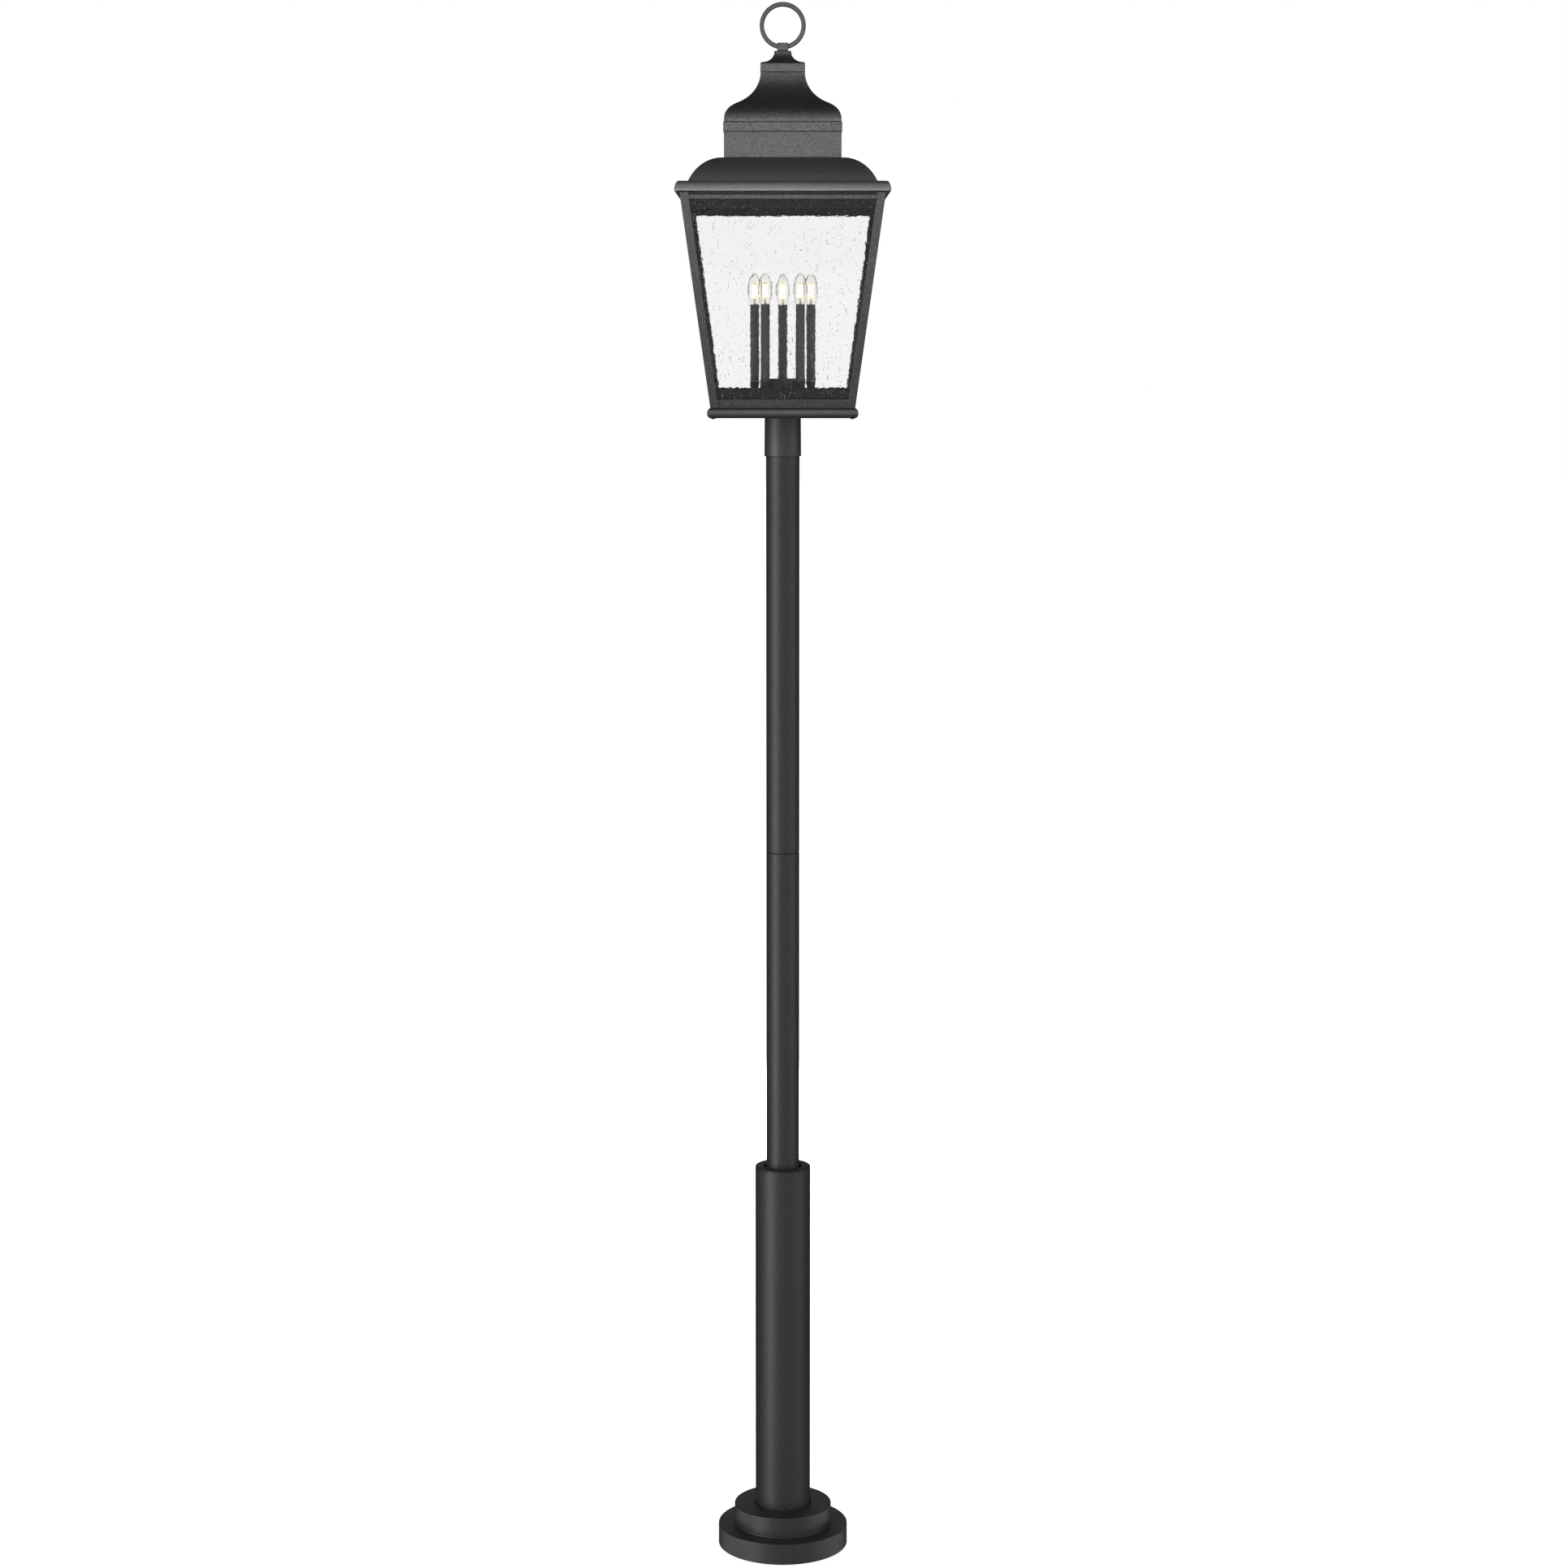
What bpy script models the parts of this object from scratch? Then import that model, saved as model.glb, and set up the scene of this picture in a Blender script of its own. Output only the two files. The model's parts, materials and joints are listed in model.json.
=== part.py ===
"""Post-mounted street lantern: a square tapered lantern on a round two-piece post.

Metres, +Z up, origin at the centre of the footing on the ground. The front of
the lantern faces -Y. Angles round the post are measured from the front towards +X.
"""
import math

import bmesh
import bpy

GAP = 0.0003
CUT_MARGIN = 0.002
SMALL_EDGE = 0.0010

# Steps round a turned part
POST_STEPS = 48
COLLAR_STEPS = 40
DISC_STEPS = 32
PIPE_STEPS = 24
ROD_STEPS = 20
LAMP_STEPS = 16
SCREW_STEPS = 12

# Post and footing
POST_RADIUS = 0.0381
POST_WALL = 0.003
POST_SEAM_Z = 1.6634
POST_TOP_Z = 2.650
POST_CHAMFER = 0.0012
COUPLER_HALF_LENGTH = 0.10
COUPLER_WALL = 0.004
PLATE_RADIUS = 0.140
PLATE_HEIGHT = 0.016
PLATE_CABLE_RADIUS = 0.025
PLATE_BOLT_RADIUS = 0.007
PLATE_BOLT_CIRCLE = 0.110
SOCKET_TOP_Z = 0.128
SLEEVE_RADIUS = 0.0645
SLEEVE_WALL = 0.0035
SLEEVE_TOP_Z = 0.9150
SLEEVE_CAP_TOP_Z = 0.9187
SLEEVE_CAP_HOLE = 0.0432
SLEEVE_CAP_SPIGOT = 0.012
SLEEVE_CAP_SPIGOT_WALL = 0.003
SLEEVE_SCREW_Z = 0.1040
SLEEVE_SCREW_ANGLES = [-72.0, 18.0, 108.0, 198.0]
SLEEVE_SCREW_HEAD = 0.0040
SLEEVE_SCREW_RISE = 0.0018
SLEEVE_SCREW_SHANK = 0.0020
SLEEVE_SCREW_HOLE = SLEEVE_SCREW_SHANK + GAP
SLEEVE_SCREW_LENGTH = 0.0115
SLEEVE_SCREW_CROWN = 0.0028
SLEEVE_SCREW_CROWN_RISE = 0.00144
SLEEVE_SCREW_LIP_RISE = 0.0006
COVER_LOWER_RADIUS = 0.1525
COVER_LOWER_TOP = 0.0493
COVER_UPPER_RADIUS = 0.1142
COVER_UPPER_TOP = 0.0980
COVER_WALL = 0.003
COVER_RIM = 0.0025
COVER_FILLET = 0.0030
COVER_BORE = SLEEVE_RADIUS + SLEEVE_SCREW_RISE + 0.0004

# Fitter, the collar that carries the lantern on the post
FITTER_BOTTOM_Z = 2.5733
FITTER_TOP_Z = 2.6677
FITTER_BOTTOM_RADIUS = 0.0417
FITTER_TOP_RADIUS = 0.0410
FITTER_BORE = 0.0386
FITTER_FLANGE_RADIUS = 0.055
FITTER_FLANGE = 0.0035
FITTER_UNDERSIDE_Z = 2.6642
FITTER_EDGE = 0.0008
FITTER_SCREW_Z = 2.594
FITTER_SCREW_ANGLES = [-60.0, 60.0, 180.0]
FITTER_SCREW_SHANK = 0.0022
FITTER_SCREW_HOLE = 0.0026
FITTER_SCREW_TIP = 0.0385
FITTER_SCREW_HEAD = 0.0032
FITTER_SCREW_RISE = 0.0020
FITTER_SCREW_CROWN_RISE = 0.0018
FITTER_SCREW_LIP_RISE = 0.0009

# Lantern cage, a square frustum
CAGE_BASE_Z = 2.684
CAGE_BASE_HALF = 0.1607
CAGE_SLOPE = 0.13714
CAGE_BOTTOM_Z = CAGE_BASE_Z + GAP
CAGE_TOP_Z = 3.1535
BOTTOM_RAIL_TOP_Z = 2.7040
TOP_RAIL_BOTTOM_Z = 3.1385
TOP_RAIL_STEP_Z = 3.1475
TOP_RAIL_STEP = 0.0018
POST_LEG = 0.019
POST_THICKNESS = 0.0025
RAIL_THICKNESS = 0.0025
GLASS_THICKNESS = 0.003
FLANGE_DEPTH = 0.020
FLANGE_THICKNESS = 0.0025
STOP_THICKNESS = 0.0020
LOWER_STOP_TOP_Z = 2.7260
UPPER_STOP_BOTTOM_Z = 3.1190

# Lantern floor
MOULDING_BOTTOM_Z = 2.6622
MOULDING_TOP_Z = 2.6840
MOULDING_FACE_HALF = 0.1603
MOULDING_BULGE = 0.0076
MOULDING_INNER_HALF = 0.150
PAN_BOTTOM_Z = 2.6680
PAN_TOP_Z = 2.6710
PIPE_RADIUS = 0.0054
PIPE_BORE = 0.0034
PIPE_HOLE = PIPE_RADIUS + GAP
PIPE_BOTTOM_Z = 2.652
PIPE_TOP_Z = 2.7295
HUB_NUT_BOTTOM_Z = 2.6555
HUB_NUT_RADIUS = 0.011

# Candle cluster
CANDLE_COUNT = 5
CANDLE_CIRCLE = 0.067
HUB_RADIUS = 0.0098
HUB_BOTTOM_Z = 2.7080
HUB_TOP_Z = 2.7427
HUB_EDGE = 0.0015
ARM_Z = 2.7150
ARM_RADIUS = 0.0060
ARM_BEND = 0.013
CUP_TOP_Z = 2.7420
CUP_BOTTOM_Z = 2.7190
CUP_TOP_RADIUS = 0.0108
CUP_BOTTOM_RADIUS = 0.0068
CUP_WALL_HEIGHT = 0.005
DISC_RADIUS = 0.051
DISC_BOTTOM_Z = 2.7430
DISC_TOP_Z = 2.7480
SKIRT_BOTTOM_Z = 2.7265
SKIRT_WALL = 0.0025
CANDLE_TOP_Z = 2.9140
CANDLE_RADIUS = 0.0102
CANDLE_BORE = 0.0092
HOLDER_RADIUS = 0.0086
HOLDER_BORE = 0.0070
HOLDER_TOP_Z = 2.9035
HOLDER_BORE_FLOOR_Z = 2.8790
HOLDER_SHELL_BOTTOM_Z = 2.8670
HOLDER_STEM_TOP_Z = 2.8630
HOLDER_STEM_RADIUS = 0.0035
HOLDER_FOOT_RADIUS = 0.0075
HOLDER_FOOT_HEIGHT = 0.003
BULB_BASE_RADIUS = 0.0064
BULB_BASE_Z = 2.8800
BULB_NECK_Z = 2.9045
BULB_NECK_RADIUS = 0.0066
BULB_WAIST_Z = 2.9410
BULB_RADIUS = 0.0155
BULB_TIP_Z = 2.9830
BULB_LOWER_SPAN = 0.033
BULB_SWELL_START = -14.0
BULB_SWELL_END = -56.0
BULB_COLLAR_HEIGHT = 0.001
BULB_CONTACT_RADIUS = 0.003
BULB_CONTACT_HEIGHT = 0.003

# Roof suspension
CROSSBAR_THICKNESS = 0.003
CROSSBAR_HALF_WIDTH = 0.010
CROSSBAR_HALF_LENGTH = 0.2095
ROD_RADIUS = 0.0040
ROD_BOTTOM_Z = 3.136
ROD_TOP_Z = 3.400
NUT_BORE = ROD_RADIUS + GAP
NUT_RADIUS = 0.0090
NUT_HEIGHT = 0.0080
COUPLING_BOTTOM_Z = 3.375
COUPLING_TOP_Z = 3.420

# Roof
EAVE_BOTTOM_Z = 3.1550
EAVE_TOP_Z = 3.1772
EAVE_HALF = 0.2362
EAVE_ROUND = 0.0102
EAVE_INNER_HALF = 0.2110
EAVE_LEDGE = 0.008
EAVE_LEDGE_THICKNESS = 0.003
PAN_ROOF_EDGE_HALF = 0.2071
PAN_ROOF_TOP_Z = 3.2325
PAN_ROOF_SPREAD = 0.088
PAN_ROOF_DROP = 0.1045
SHEET = 0.0015
NECK_HALF = 0.1296
NECK_TOP_Z = 3.2886
NECK_OPENING_HALF = 0.118
BAND_HALF = 0.1311
BAND_INNER_HALF = 0.12735
BAND_EDGE = 0.0008
BAND_TOP_Z = 3.3100
BELL_TOP_Z = 3.4235
BELL_HALF = 0.1295
BELL_TOP_HALF = 0.0494
BELL_STRAIGHT = 0.0062
SHOULDER_WIDTH = 0.0492
SHOULDER_HEIGHT = 0.0400
OGEE_WIDTH = 0.0994
OGEE_HEIGHT = 0.0800
OGEE_JOIN_HALF = 0.103
ROD_HOLE_HALF = 0.012
CAP_HALF = 0.0496
CAP_BAND_TOP_Z = 3.4455
CAP_BEVEL = 0.0025
CAP_TOP_Z = 3.4725
CAP_TOP_HALF = 0.0189
CAP_SEAT = 0.0025
CAP_SHEET = 0.003
CAP_FLOOR_HALF = 0.016
CAP_EDGE_CEILING_Z = 3.4420
CAP_FLOOR_CEILING_Z = 3.4440
COVE_WIDTH = 0.031
COVE_HEIGHT = 0.0245
COVE_END = 262.0
STEM_RADIUS = 0.0040
STEM_BOTTOM_Z = 3.4030
STEM_HOLE_HALF = 0.006

# Finial
HOLDER_BLOCK_HALF = 0.01215
HOLDER_BLOCK_TOP_Z = 3.4910
HOLDER_BLOCK_EDGE = 0.0012
RING_CENTRE_Z = 3.5289
RING_OUTER_RADIUS = 0.0515
RING_INNER_RADIUS = 0.0417
RING_HALF_DEPTH = 0.006
RING_CHAMFER = 0.0012


def clear_scene():
    for obj in list(bpy.data.objects):
        bpy.data.objects.remove(obj, do_unlink=True)


def make_collection(name):
    collection = bpy.data.collections.new(name)
    bpy.context.scene.collection.children.link(collection)
    return collection


clear_scene()
PARTS = make_collection("post_lantern")
CUTTERS = make_collection("post_lantern_cutters")


# Materials

def make_material(name, color, roughness, metallic):
    material = bpy.data.materials.new(name)
    material.use_nodes = True
    shader = material.node_tree.nodes["Principled BSDF"]
    shader.inputs["Base Color"].default_value = (*color, 1.0)
    shader.inputs["Roughness"].default_value = roughness
    shader.inputs["Metallic"].default_value = metallic
    return material


def powder_coat(name):
    return make_material(name + "_paint", (0.07, 0.07, 0.072), 0.5, 0.0)


def bare_steel(name):
    return make_material(name + "_steel", (0.45, 0.45, 0.46), 0.35, 1.0)


def clear_glass(name):
    material = make_material(name + "_glass", (0.95, 0.97, 0.96), 0.03, 0.0)
    shader = material.node_tree.nodes["Principled BSDF"]
    shader.inputs["Transmission Weight"].default_value = 1.0
    return material


def phenolic(name):
    return make_material(name + "_phenolic", (0.05, 0.045, 0.04), 0.45, 0.0)


# Making objects

def add_object(name, mesh, material, collection=None):
    obj = bpy.data.objects.new(name, mesh)
    if material is not None:
        obj.data.materials.append(material)
    (collection or PARTS).objects.link(obj)
    return obj


def as_cutter(obj):
    obj.hide_render = True
    obj.display_type = "WIRE"
    return obj


def profile_mesh(name, points, closed):
    """An outline in the XZ plane, given as (distance from the axis, height)."""
    mesh = bmesh.new()
    verts = [mesh.verts.new((radius, 0.0, height)) for radius, height in points]
    for first, second in zip(verts, verts[1:]):
        mesh.edges.new((first, second))
    if closed:
        mesh.edges.new((verts[-1], verts[0]))
    data = bpy.data.meshes.new(name)
    mesh.to_mesh(data)
    mesh.free()
    return data


def turned(name, points, material, segments=DISC_STEPS, closed=True, collection=None):
    """A profile turned about the Z axis. It runs down the outer side, top to bottom."""
    obj = add_object(name, profile_mesh(name, points, closed), material, collection)
    screw = obj.modifiers.new("Turn", "SCREW")
    screw.axis = "Z"
    screw.steps = segments
    screw.render_steps = segments
    screw.use_merge_vertices = True
    screw.merge_threshold = 0.00005
    screw.use_smooth_shade = True
    return obj


def square_turned(name, points, material, closed=True):
    """A profile of (half width, height) run round a square plan with mitred corners."""
    corners = [(half * math.sqrt(2.0), height) for half, height in points]
    obj = turned(name, corners, material, segments=4, closed=closed)
    obj.modifiers["Turn"].use_smooth_shade = False
    obj.rotation_euler = (0.0, 0.0, math.radians(45.0))
    return obj


def elliptic_arc(centre, width, height, start, end, steps):
    """Points on an ellipse, with angles in degrees from the +X side."""
    points = []
    for step in range(steps + 1):
        angle = math.radians(start + (end - start) * step / steps)
        points.append((centre[0] + width * math.cos(angle), centre[1] + height * math.sin(angle)))
    return points


def loft(name, section, bottom_z, top_z, material):
    """A straight-sided solid whose outline at each height comes from section(z)."""
    mesh = bmesh.new()
    verts = [mesh.verts.new((x, y, bottom_z)) for x, y in section(bottom_z)]
    face = mesh.faces.new(verts)
    extruded = bmesh.ops.extrude_face_region(mesh, geom=[face], use_keep_orig=True)
    tops = [item for item in extruded["geom"] if isinstance(item, bmesh.types.BMVert)]
    for vert in tops:
        index = min(range(len(verts)), key=lambda i: (verts[i].co - vert.co).length)
        x, y = section(top_z)[index]
        vert.co = (x, y, top_z)
    bmesh.ops.recalc_face_normals(mesh, faces=mesh.faces[:])
    data = bpy.data.meshes.new(name)
    mesh.to_mesh(data)
    mesh.free()
    return add_object(name, data, material)


def box(name, size, centre, material):
    mesh = bmesh.new()
    bmesh.ops.create_cube(mesh, size=1.0)
    bmesh.ops.scale(mesh, vec=size, verts=mesh.verts)
    data = bpy.data.meshes.new(name)
    mesh.to_mesh(data)
    mesh.free()
    obj = add_object(name, data, material)
    obj.location = centre
    return obj


def cutter_cylinder(name, radius, length, segments):
    """A cylinder along Z, centred on its own origin."""
    mesh = bmesh.new()
    bmesh.ops.create_cone(mesh, cap_ends=True, segments=segments, radius1=radius, radius2=radius, depth=length)
    data = bpy.data.meshes.new(name)
    mesh.to_mesh(data)
    mesh.free()
    return as_cutter(add_object(name, data, None, CUTTERS))


def boolean(obj, tool, operation):
    modifier = obj.modifiers.new(operation.title() + "_" + tool.name, "BOOLEAN")
    modifier.operation = operation
    modifier.object = tool
    modifier.solver = "EXACT"


def cut(obj, tool):
    boolean(obj, tool, "DIFFERENCE")


def unite(obj, tool):
    boolean(obj, tool, "UNION")


def ring_position(radius, degrees, height):
    """A point round the post, with the angle measured from the front towards +X."""
    angle = math.radians(degrees)
    return (radius * math.sin(angle), -radius * math.cos(angle), height)


def point_outwards(obj, degrees):
    """Lay an object's own +Z along the outward direction at this angle."""
    obj.rotation_euler = (math.radians(90.0), 0.0, math.radians(degrees))


def hole_cutter(name, radius, start, end, degrees, height):
    """A radial drill between two distances from the post's axis."""
    drill = cutter_cylinder(name, radius, end - start, LAMP_STEPS)
    drill.location = ring_position((start + end) / 2.0, degrees, height)
    point_outwards(drill, degrees)
    return drill


def through_cutter(name, radius, x, y, bottom_z, top_z, segments=PIPE_STEPS):
    """An upright drill that runs a little past both heights."""
    drill = cutter_cylinder(name, radius, top_z - bottom_z + 2.0 * CUT_MARGIN, segments)
    drill.location = (x, y, (bottom_z + top_z) / 2.0)
    return drill


def tube(name, outer, inner, bottom_z, top_z, material, segments=POST_STEPS, chamfer=0.0):
    side = [(outer, top_z), (outer, bottom_z)]
    if chamfer:
        side = [(outer - chamfer, top_z), (outer, top_z - chamfer)]
        side += [(outer, bottom_z + chamfer), (outer - chamfer, bottom_z)]
    return turned(name, side + [(inner, bottom_z), (inner, top_z)], material, segments)


def hex_nut(name, radius, bore, bottom_z, top_z, material):
    mesh = bmesh.new()
    depth = top_z - bottom_z
    bmesh.ops.create_cone(mesh, cap_ends=True, segments=6, radius1=radius, radius2=radius, depth=depth)
    data = bpy.data.meshes.new(name)
    mesh.to_mesh(data)
    mesh.free()
    obj = add_object(name, data, material)
    obj.location = (0.0, 0.0, (bottom_z + top_z) / 2.0)
    cut(obj, through_cutter(name + "_bore", bore, 0.0, 0.0, bottom_z, top_z, ROD_STEPS))
    return obj


# Footing and post

def make_anchor_plate():
    """The steel disc bolted to the footing, with a cable hole in its centre."""
    points = [
        (PLATE_RADIUS, PLATE_HEIGHT),
        (PLATE_RADIUS, 0.0),
        (PLATE_CABLE_RADIUS, 0.0),
        (PLATE_CABLE_RADIUS, PLATE_HEIGHT),
    ]
    plate = turned("anchor_plate", points, bare_steel("anchor_plate"), COLLAR_STEPS)
    for index in range(4):
        x, y, _ = ring_position(PLATE_BOLT_CIRCLE, 45.0 + 90.0 * index, 0.0)
        name = f"anchor_hole_{index + 1}"
        cut(plate, through_cutter(name, PLATE_BOLT_RADIUS, x, y, 0.0, PLATE_HEIGHT, SCREW_STEPS))


def make_post_socket():
    """The heavy collar on the plate that holds the post inside and the sleeve outside."""
    outer = SLEEVE_RADIUS - SLEEVE_WALL - GAP
    socket = tube("post_socket", outer, POST_RADIUS + GAP, PLATE_HEIGHT + GAP, SOCKET_TOP_Z,
                  bare_steel("post_socket"), COLLAR_STEPS, SMALL_EDGE)
    for index, degrees in enumerate(SLEEVE_SCREW_ANGLES):
        name = f"socket_hole_{index + 1}"
        floor = SLEEVE_RADIUS - SLEEVE_SCREW_LENGTH - CUT_MARGIN
        cut(socket, hole_cutter(name, SLEEVE_SCREW_HOLE, floor, SLEEVE_RADIUS, degrees, SLEEVE_SCREW_Z))


def make_lower_sleeve():
    bottom = PLATE_HEIGHT + GAP
    sleeve = tube("lower_sleeve", SLEEVE_RADIUS, SLEEVE_RADIUS - SLEEVE_WALL, bottom, SLEEVE_TOP_Z,
                  powder_coat("lower_sleeve"))
    for index, degrees in enumerate(SLEEVE_SCREW_ANGLES):
        name = f"sleeve_hole_{index + 1}"
        start = SLEEVE_RADIUS - SLEEVE_WALL - CUT_MARGIN
        end = SLEEVE_RADIUS + CUT_MARGIN
        cut(sleeve, hole_cutter(name, SLEEVE_SCREW_HOLE, start, end, degrees, SLEEVE_SCREW_Z))


def make_sleeve_cap():
    """The ring that closes the top of the sleeve round the post, with a spigot inside."""
    spigot = SLEEVE_RADIUS - SLEEVE_WALL - GAP
    spigot_inner = spigot - SLEEVE_CAP_SPIGOT_WALL
    edge = SMALL_EDGE
    seat = SLEEVE_TOP_Z + GAP
    points = [
        (SLEEVE_CAP_HOLE + edge, SLEEVE_CAP_TOP_Z),
        (SLEEVE_RADIUS - edge, SLEEVE_CAP_TOP_Z),
        (SLEEVE_RADIUS, SLEEVE_CAP_TOP_Z - edge),
        (SLEEVE_RADIUS, seat),
        (spigot, seat),
        (spigot, seat - SLEEVE_CAP_SPIGOT),
        (spigot_inner, seat - SLEEVE_CAP_SPIGOT),
        (spigot_inner, seat),
        (SLEEVE_CAP_HOLE, seat),
        (SLEEVE_CAP_HOLE, SLEEVE_CAP_TOP_Z - edge),
    ]
    turned("sleeve_cap", points, powder_coat("sleeve_cap"), COLLAR_STEPS)


def make_sleeve_screw(index, degrees):
    """A low button-head screw through the sleeve into the socket."""
    name = f"sleeve_screw_{index + 1}"
    points = [
        (0.0, SLEEVE_SCREW_RISE),
        (SLEEVE_SCREW_CROWN, SLEEVE_SCREW_CROWN_RISE),
        (SLEEVE_SCREW_HEAD, SLEEVE_SCREW_LIP_RISE),
        (SLEEVE_SCREW_HEAD, GAP),
        (SLEEVE_SCREW_SHANK, GAP),
        (SLEEVE_SCREW_SHANK, -SLEEVE_SCREW_LENGTH),
        (0.0, -SLEEVE_SCREW_LENGTH),
    ]
    screw = turned(name, points, bare_steel(name), SCREW_STEPS, closed=False)
    screw.location = ring_position(SLEEVE_RADIUS, degrees, SLEEVE_SCREW_Z)
    point_outwards(screw, degrees)


def make_posts():
    inner = POST_RADIUS - POST_WALL
    tube("lower_post", POST_RADIUS, inner, PLATE_HEIGHT + GAP, POST_SEAM_Z - GAP / 2.0,
         powder_coat("lower_post"), POST_STEPS, POST_CHAMFER)
    tube("upper_post", POST_RADIUS, inner, POST_SEAM_Z + GAP / 2.0, POST_TOP_Z,
         powder_coat("upper_post"), POST_STEPS, POST_CHAMFER)


def make_post_coupler():
    """The spigot inside the seam that lines up the two lengths of post."""
    outer = POST_RADIUS - POST_WALL - GAP
    tube("post_coupler", outer, outer - COUPLER_WALL, POST_SEAM_Z - COUPLER_HALF_LENGTH,
         POST_SEAM_Z + COUPLER_HALF_LENGTH, bare_steel("post_coupler"), COLLAR_STEPS, SMALL_EDGE)


def make_base_cover():
    """The loose two-step cover over the anchor plate, with rounded rims and a filleted step."""
    wall = COVER_WALL
    rim = COVER_RIM
    fillet = COVER_FILLET
    upper_rim = (COVER_UPPER_RADIUS - rim, COVER_UPPER_TOP - rim)
    lower_rim = (COVER_LOWER_RADIUS - rim, COVER_LOWER_TOP - rim)
    step = (COVER_UPPER_RADIUS + fillet, COVER_LOWER_TOP + fillet)
    points = [(COVER_BORE, COVER_UPPER_TOP)]
    points += elliptic_arc(upper_rim, rim, rim, 90.0, 0.0, 3)
    points += elliptic_arc(step, fillet, fillet, 180.0, 270.0, 3)
    points += elliptic_arc(lower_rim, rim, rim, 90.0, 0.0, 3)
    points += [
        (COVER_LOWER_RADIUS, 0.0),
        (COVER_LOWER_RADIUS - wall, 0.0),
        (COVER_LOWER_RADIUS - wall, COVER_LOWER_TOP - wall),
        (COVER_UPPER_RADIUS - wall, COVER_LOWER_TOP - wall),
        (COVER_UPPER_RADIUS - wall, COVER_UPPER_TOP - wall),
        (COVER_BORE, COVER_UPPER_TOP - wall),
    ]
    turned("base_cover", points, powder_coat("base_cover"), POST_STEPS)


# Lantern floor and fitter

def make_fitter():
    """The collar over the post's top, with the flange that carries the lantern floor."""
    points = [
        (PIPE_HOLE, FITTER_TOP_Z),
        (FITTER_FLANGE_RADIUS, FITTER_TOP_Z),
        (FITTER_FLANGE_RADIUS, FITTER_UNDERSIDE_Z),
        (FITTER_TOP_RADIUS, FITTER_UNDERSIDE_Z),
        (FITTER_BOTTOM_RADIUS, FITTER_BOTTOM_Z + FITTER_EDGE),
        (FITTER_BOTTOM_RADIUS - FITTER_EDGE, FITTER_BOTTOM_Z),
        (FITTER_BORE, FITTER_BOTTOM_Z),
        (FITTER_BORE, FITTER_TOP_Z - FITTER_FLANGE),
        (PIPE_HOLE, FITTER_TOP_Z - FITTER_FLANGE),
    ]
    fitter = turned("fitter", points, powder_coat("fitter"), COLLAR_STEPS)
    for index, degrees in enumerate(FITTER_SCREW_ANGLES):
        name = f"fitter_hole_{index + 1}"
        start = FITTER_BORE - CUT_MARGIN
        end = FITTER_BOTTOM_RADIUS + CUT_MARGIN
        cut(fitter, hole_cutter(name, FITTER_SCREW_HOLE, start, end, degrees, FITTER_SCREW_Z))


def make_fitter_screw(index, degrees):
    """A set screw that grips the post, with its rounded head just proud of the fitter."""
    name = f"fitter_screw_{index + 1}"
    tip = FITTER_SCREW_TIP - FITTER_BOTTOM_RADIUS
    points = [
        (0.0, FITTER_SCREW_RISE),
        (FITTER_SCREW_SHANK, FITTER_SCREW_CROWN_RISE),
        (FITTER_SCREW_HEAD, FITTER_SCREW_LIP_RISE),
        (FITTER_SCREW_HEAD, GAP),
        (FITTER_SCREW_SHANK, GAP),
        (FITTER_SCREW_SHANK, tip),
        (0.0, tip),
    ]
    screw = turned(name, points, bare_steel(name), SCREW_STEPS, closed=False)
    screw.location = ring_position(FITTER_BOTTOM_RADIUS, degrees, FITTER_SCREW_Z)
    point_outwards(screw, degrees)


def make_bottom_moulding():
    """The half-round moulding below the cage."""
    centre = (MOULDING_FACE_HALF, (MOULDING_BOTTOM_Z + MOULDING_TOP_Z) / 2.0)
    half_height = (MOULDING_TOP_Z - MOULDING_BOTTOM_Z) / 2.0
    points = [(MOULDING_INNER_HALF, MOULDING_TOP_Z)]
    points += elliptic_arc(centre, MOULDING_BULGE, half_height, 90.0, -90.0, 10)
    points.append((MOULDING_INNER_HALF, MOULDING_BOTTOM_Z))
    square_turned("bottom_moulding", points, powder_coat("bottom_moulding"))


def make_bottom_pan():
    half = MOULDING_INNER_HALF - GAP
    size = (2.0 * half, 2.0 * half, PAN_TOP_Z - PAN_BOTTOM_Z)
    centre = (0.0, 0.0, (PAN_BOTTOM_Z + PAN_TOP_Z) / 2.0)
    pan = box("bottom_pan", size, centre, powder_coat("bottom_pan"))
    cut(pan, through_cutter("pan_hole", PIPE_HOLE, 0.0, 0.0, PAN_BOTTOM_Z, PAN_TOP_Z))


# Cage

def cage_half(height):
    """Half the outer width of the cage at this height."""
    return CAGE_BASE_HALF + CAGE_SLOPE * (height - CAGE_BASE_Z)


def angle_section(height, signs, inset, leg, thickness):
    """An L outline in one corner of the cage, set in from the cage's outer faces."""
    corner = cage_half(height) - inset
    outline = [(0.0, 0.0), (leg, 0.0), (leg, thickness), (thickness, thickness), (thickness, leg), (0.0, leg)]
    return [(signs[0] * (corner - x), signs[1] * (corner - y)) for x, y in outline]


CORNERS = {"front_left": (-1, -1), "front_right": (1, -1), "back_right": (1, 1), "back_left": (-1, 1)}
RAIL_INSET = POST_THICKNESS + GAP
GLASS_INSET = RAIL_INSET + RAIL_THICKNESS + GAP
STOP_INSET = GLASS_INSET + GLASS_THICKNESS + GAP
GLASS_BOTTOM_Z = CAGE_BOTTOM_Z + FLANGE_THICKNESS + GAP
GLASS_TOP_Z = CAGE_TOP_Z - FLANGE_THICKNESS - GAP


def make_corner_post(place, signs):
    name = "corner_post_" + place

    def section(height):
        return angle_section(height, signs, 0.0, POST_LEG, POST_THICKNESS)

    loft(name, section, CAGE_BOTTOM_Z, CAGE_TOP_Z, powder_coat(name))


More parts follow.
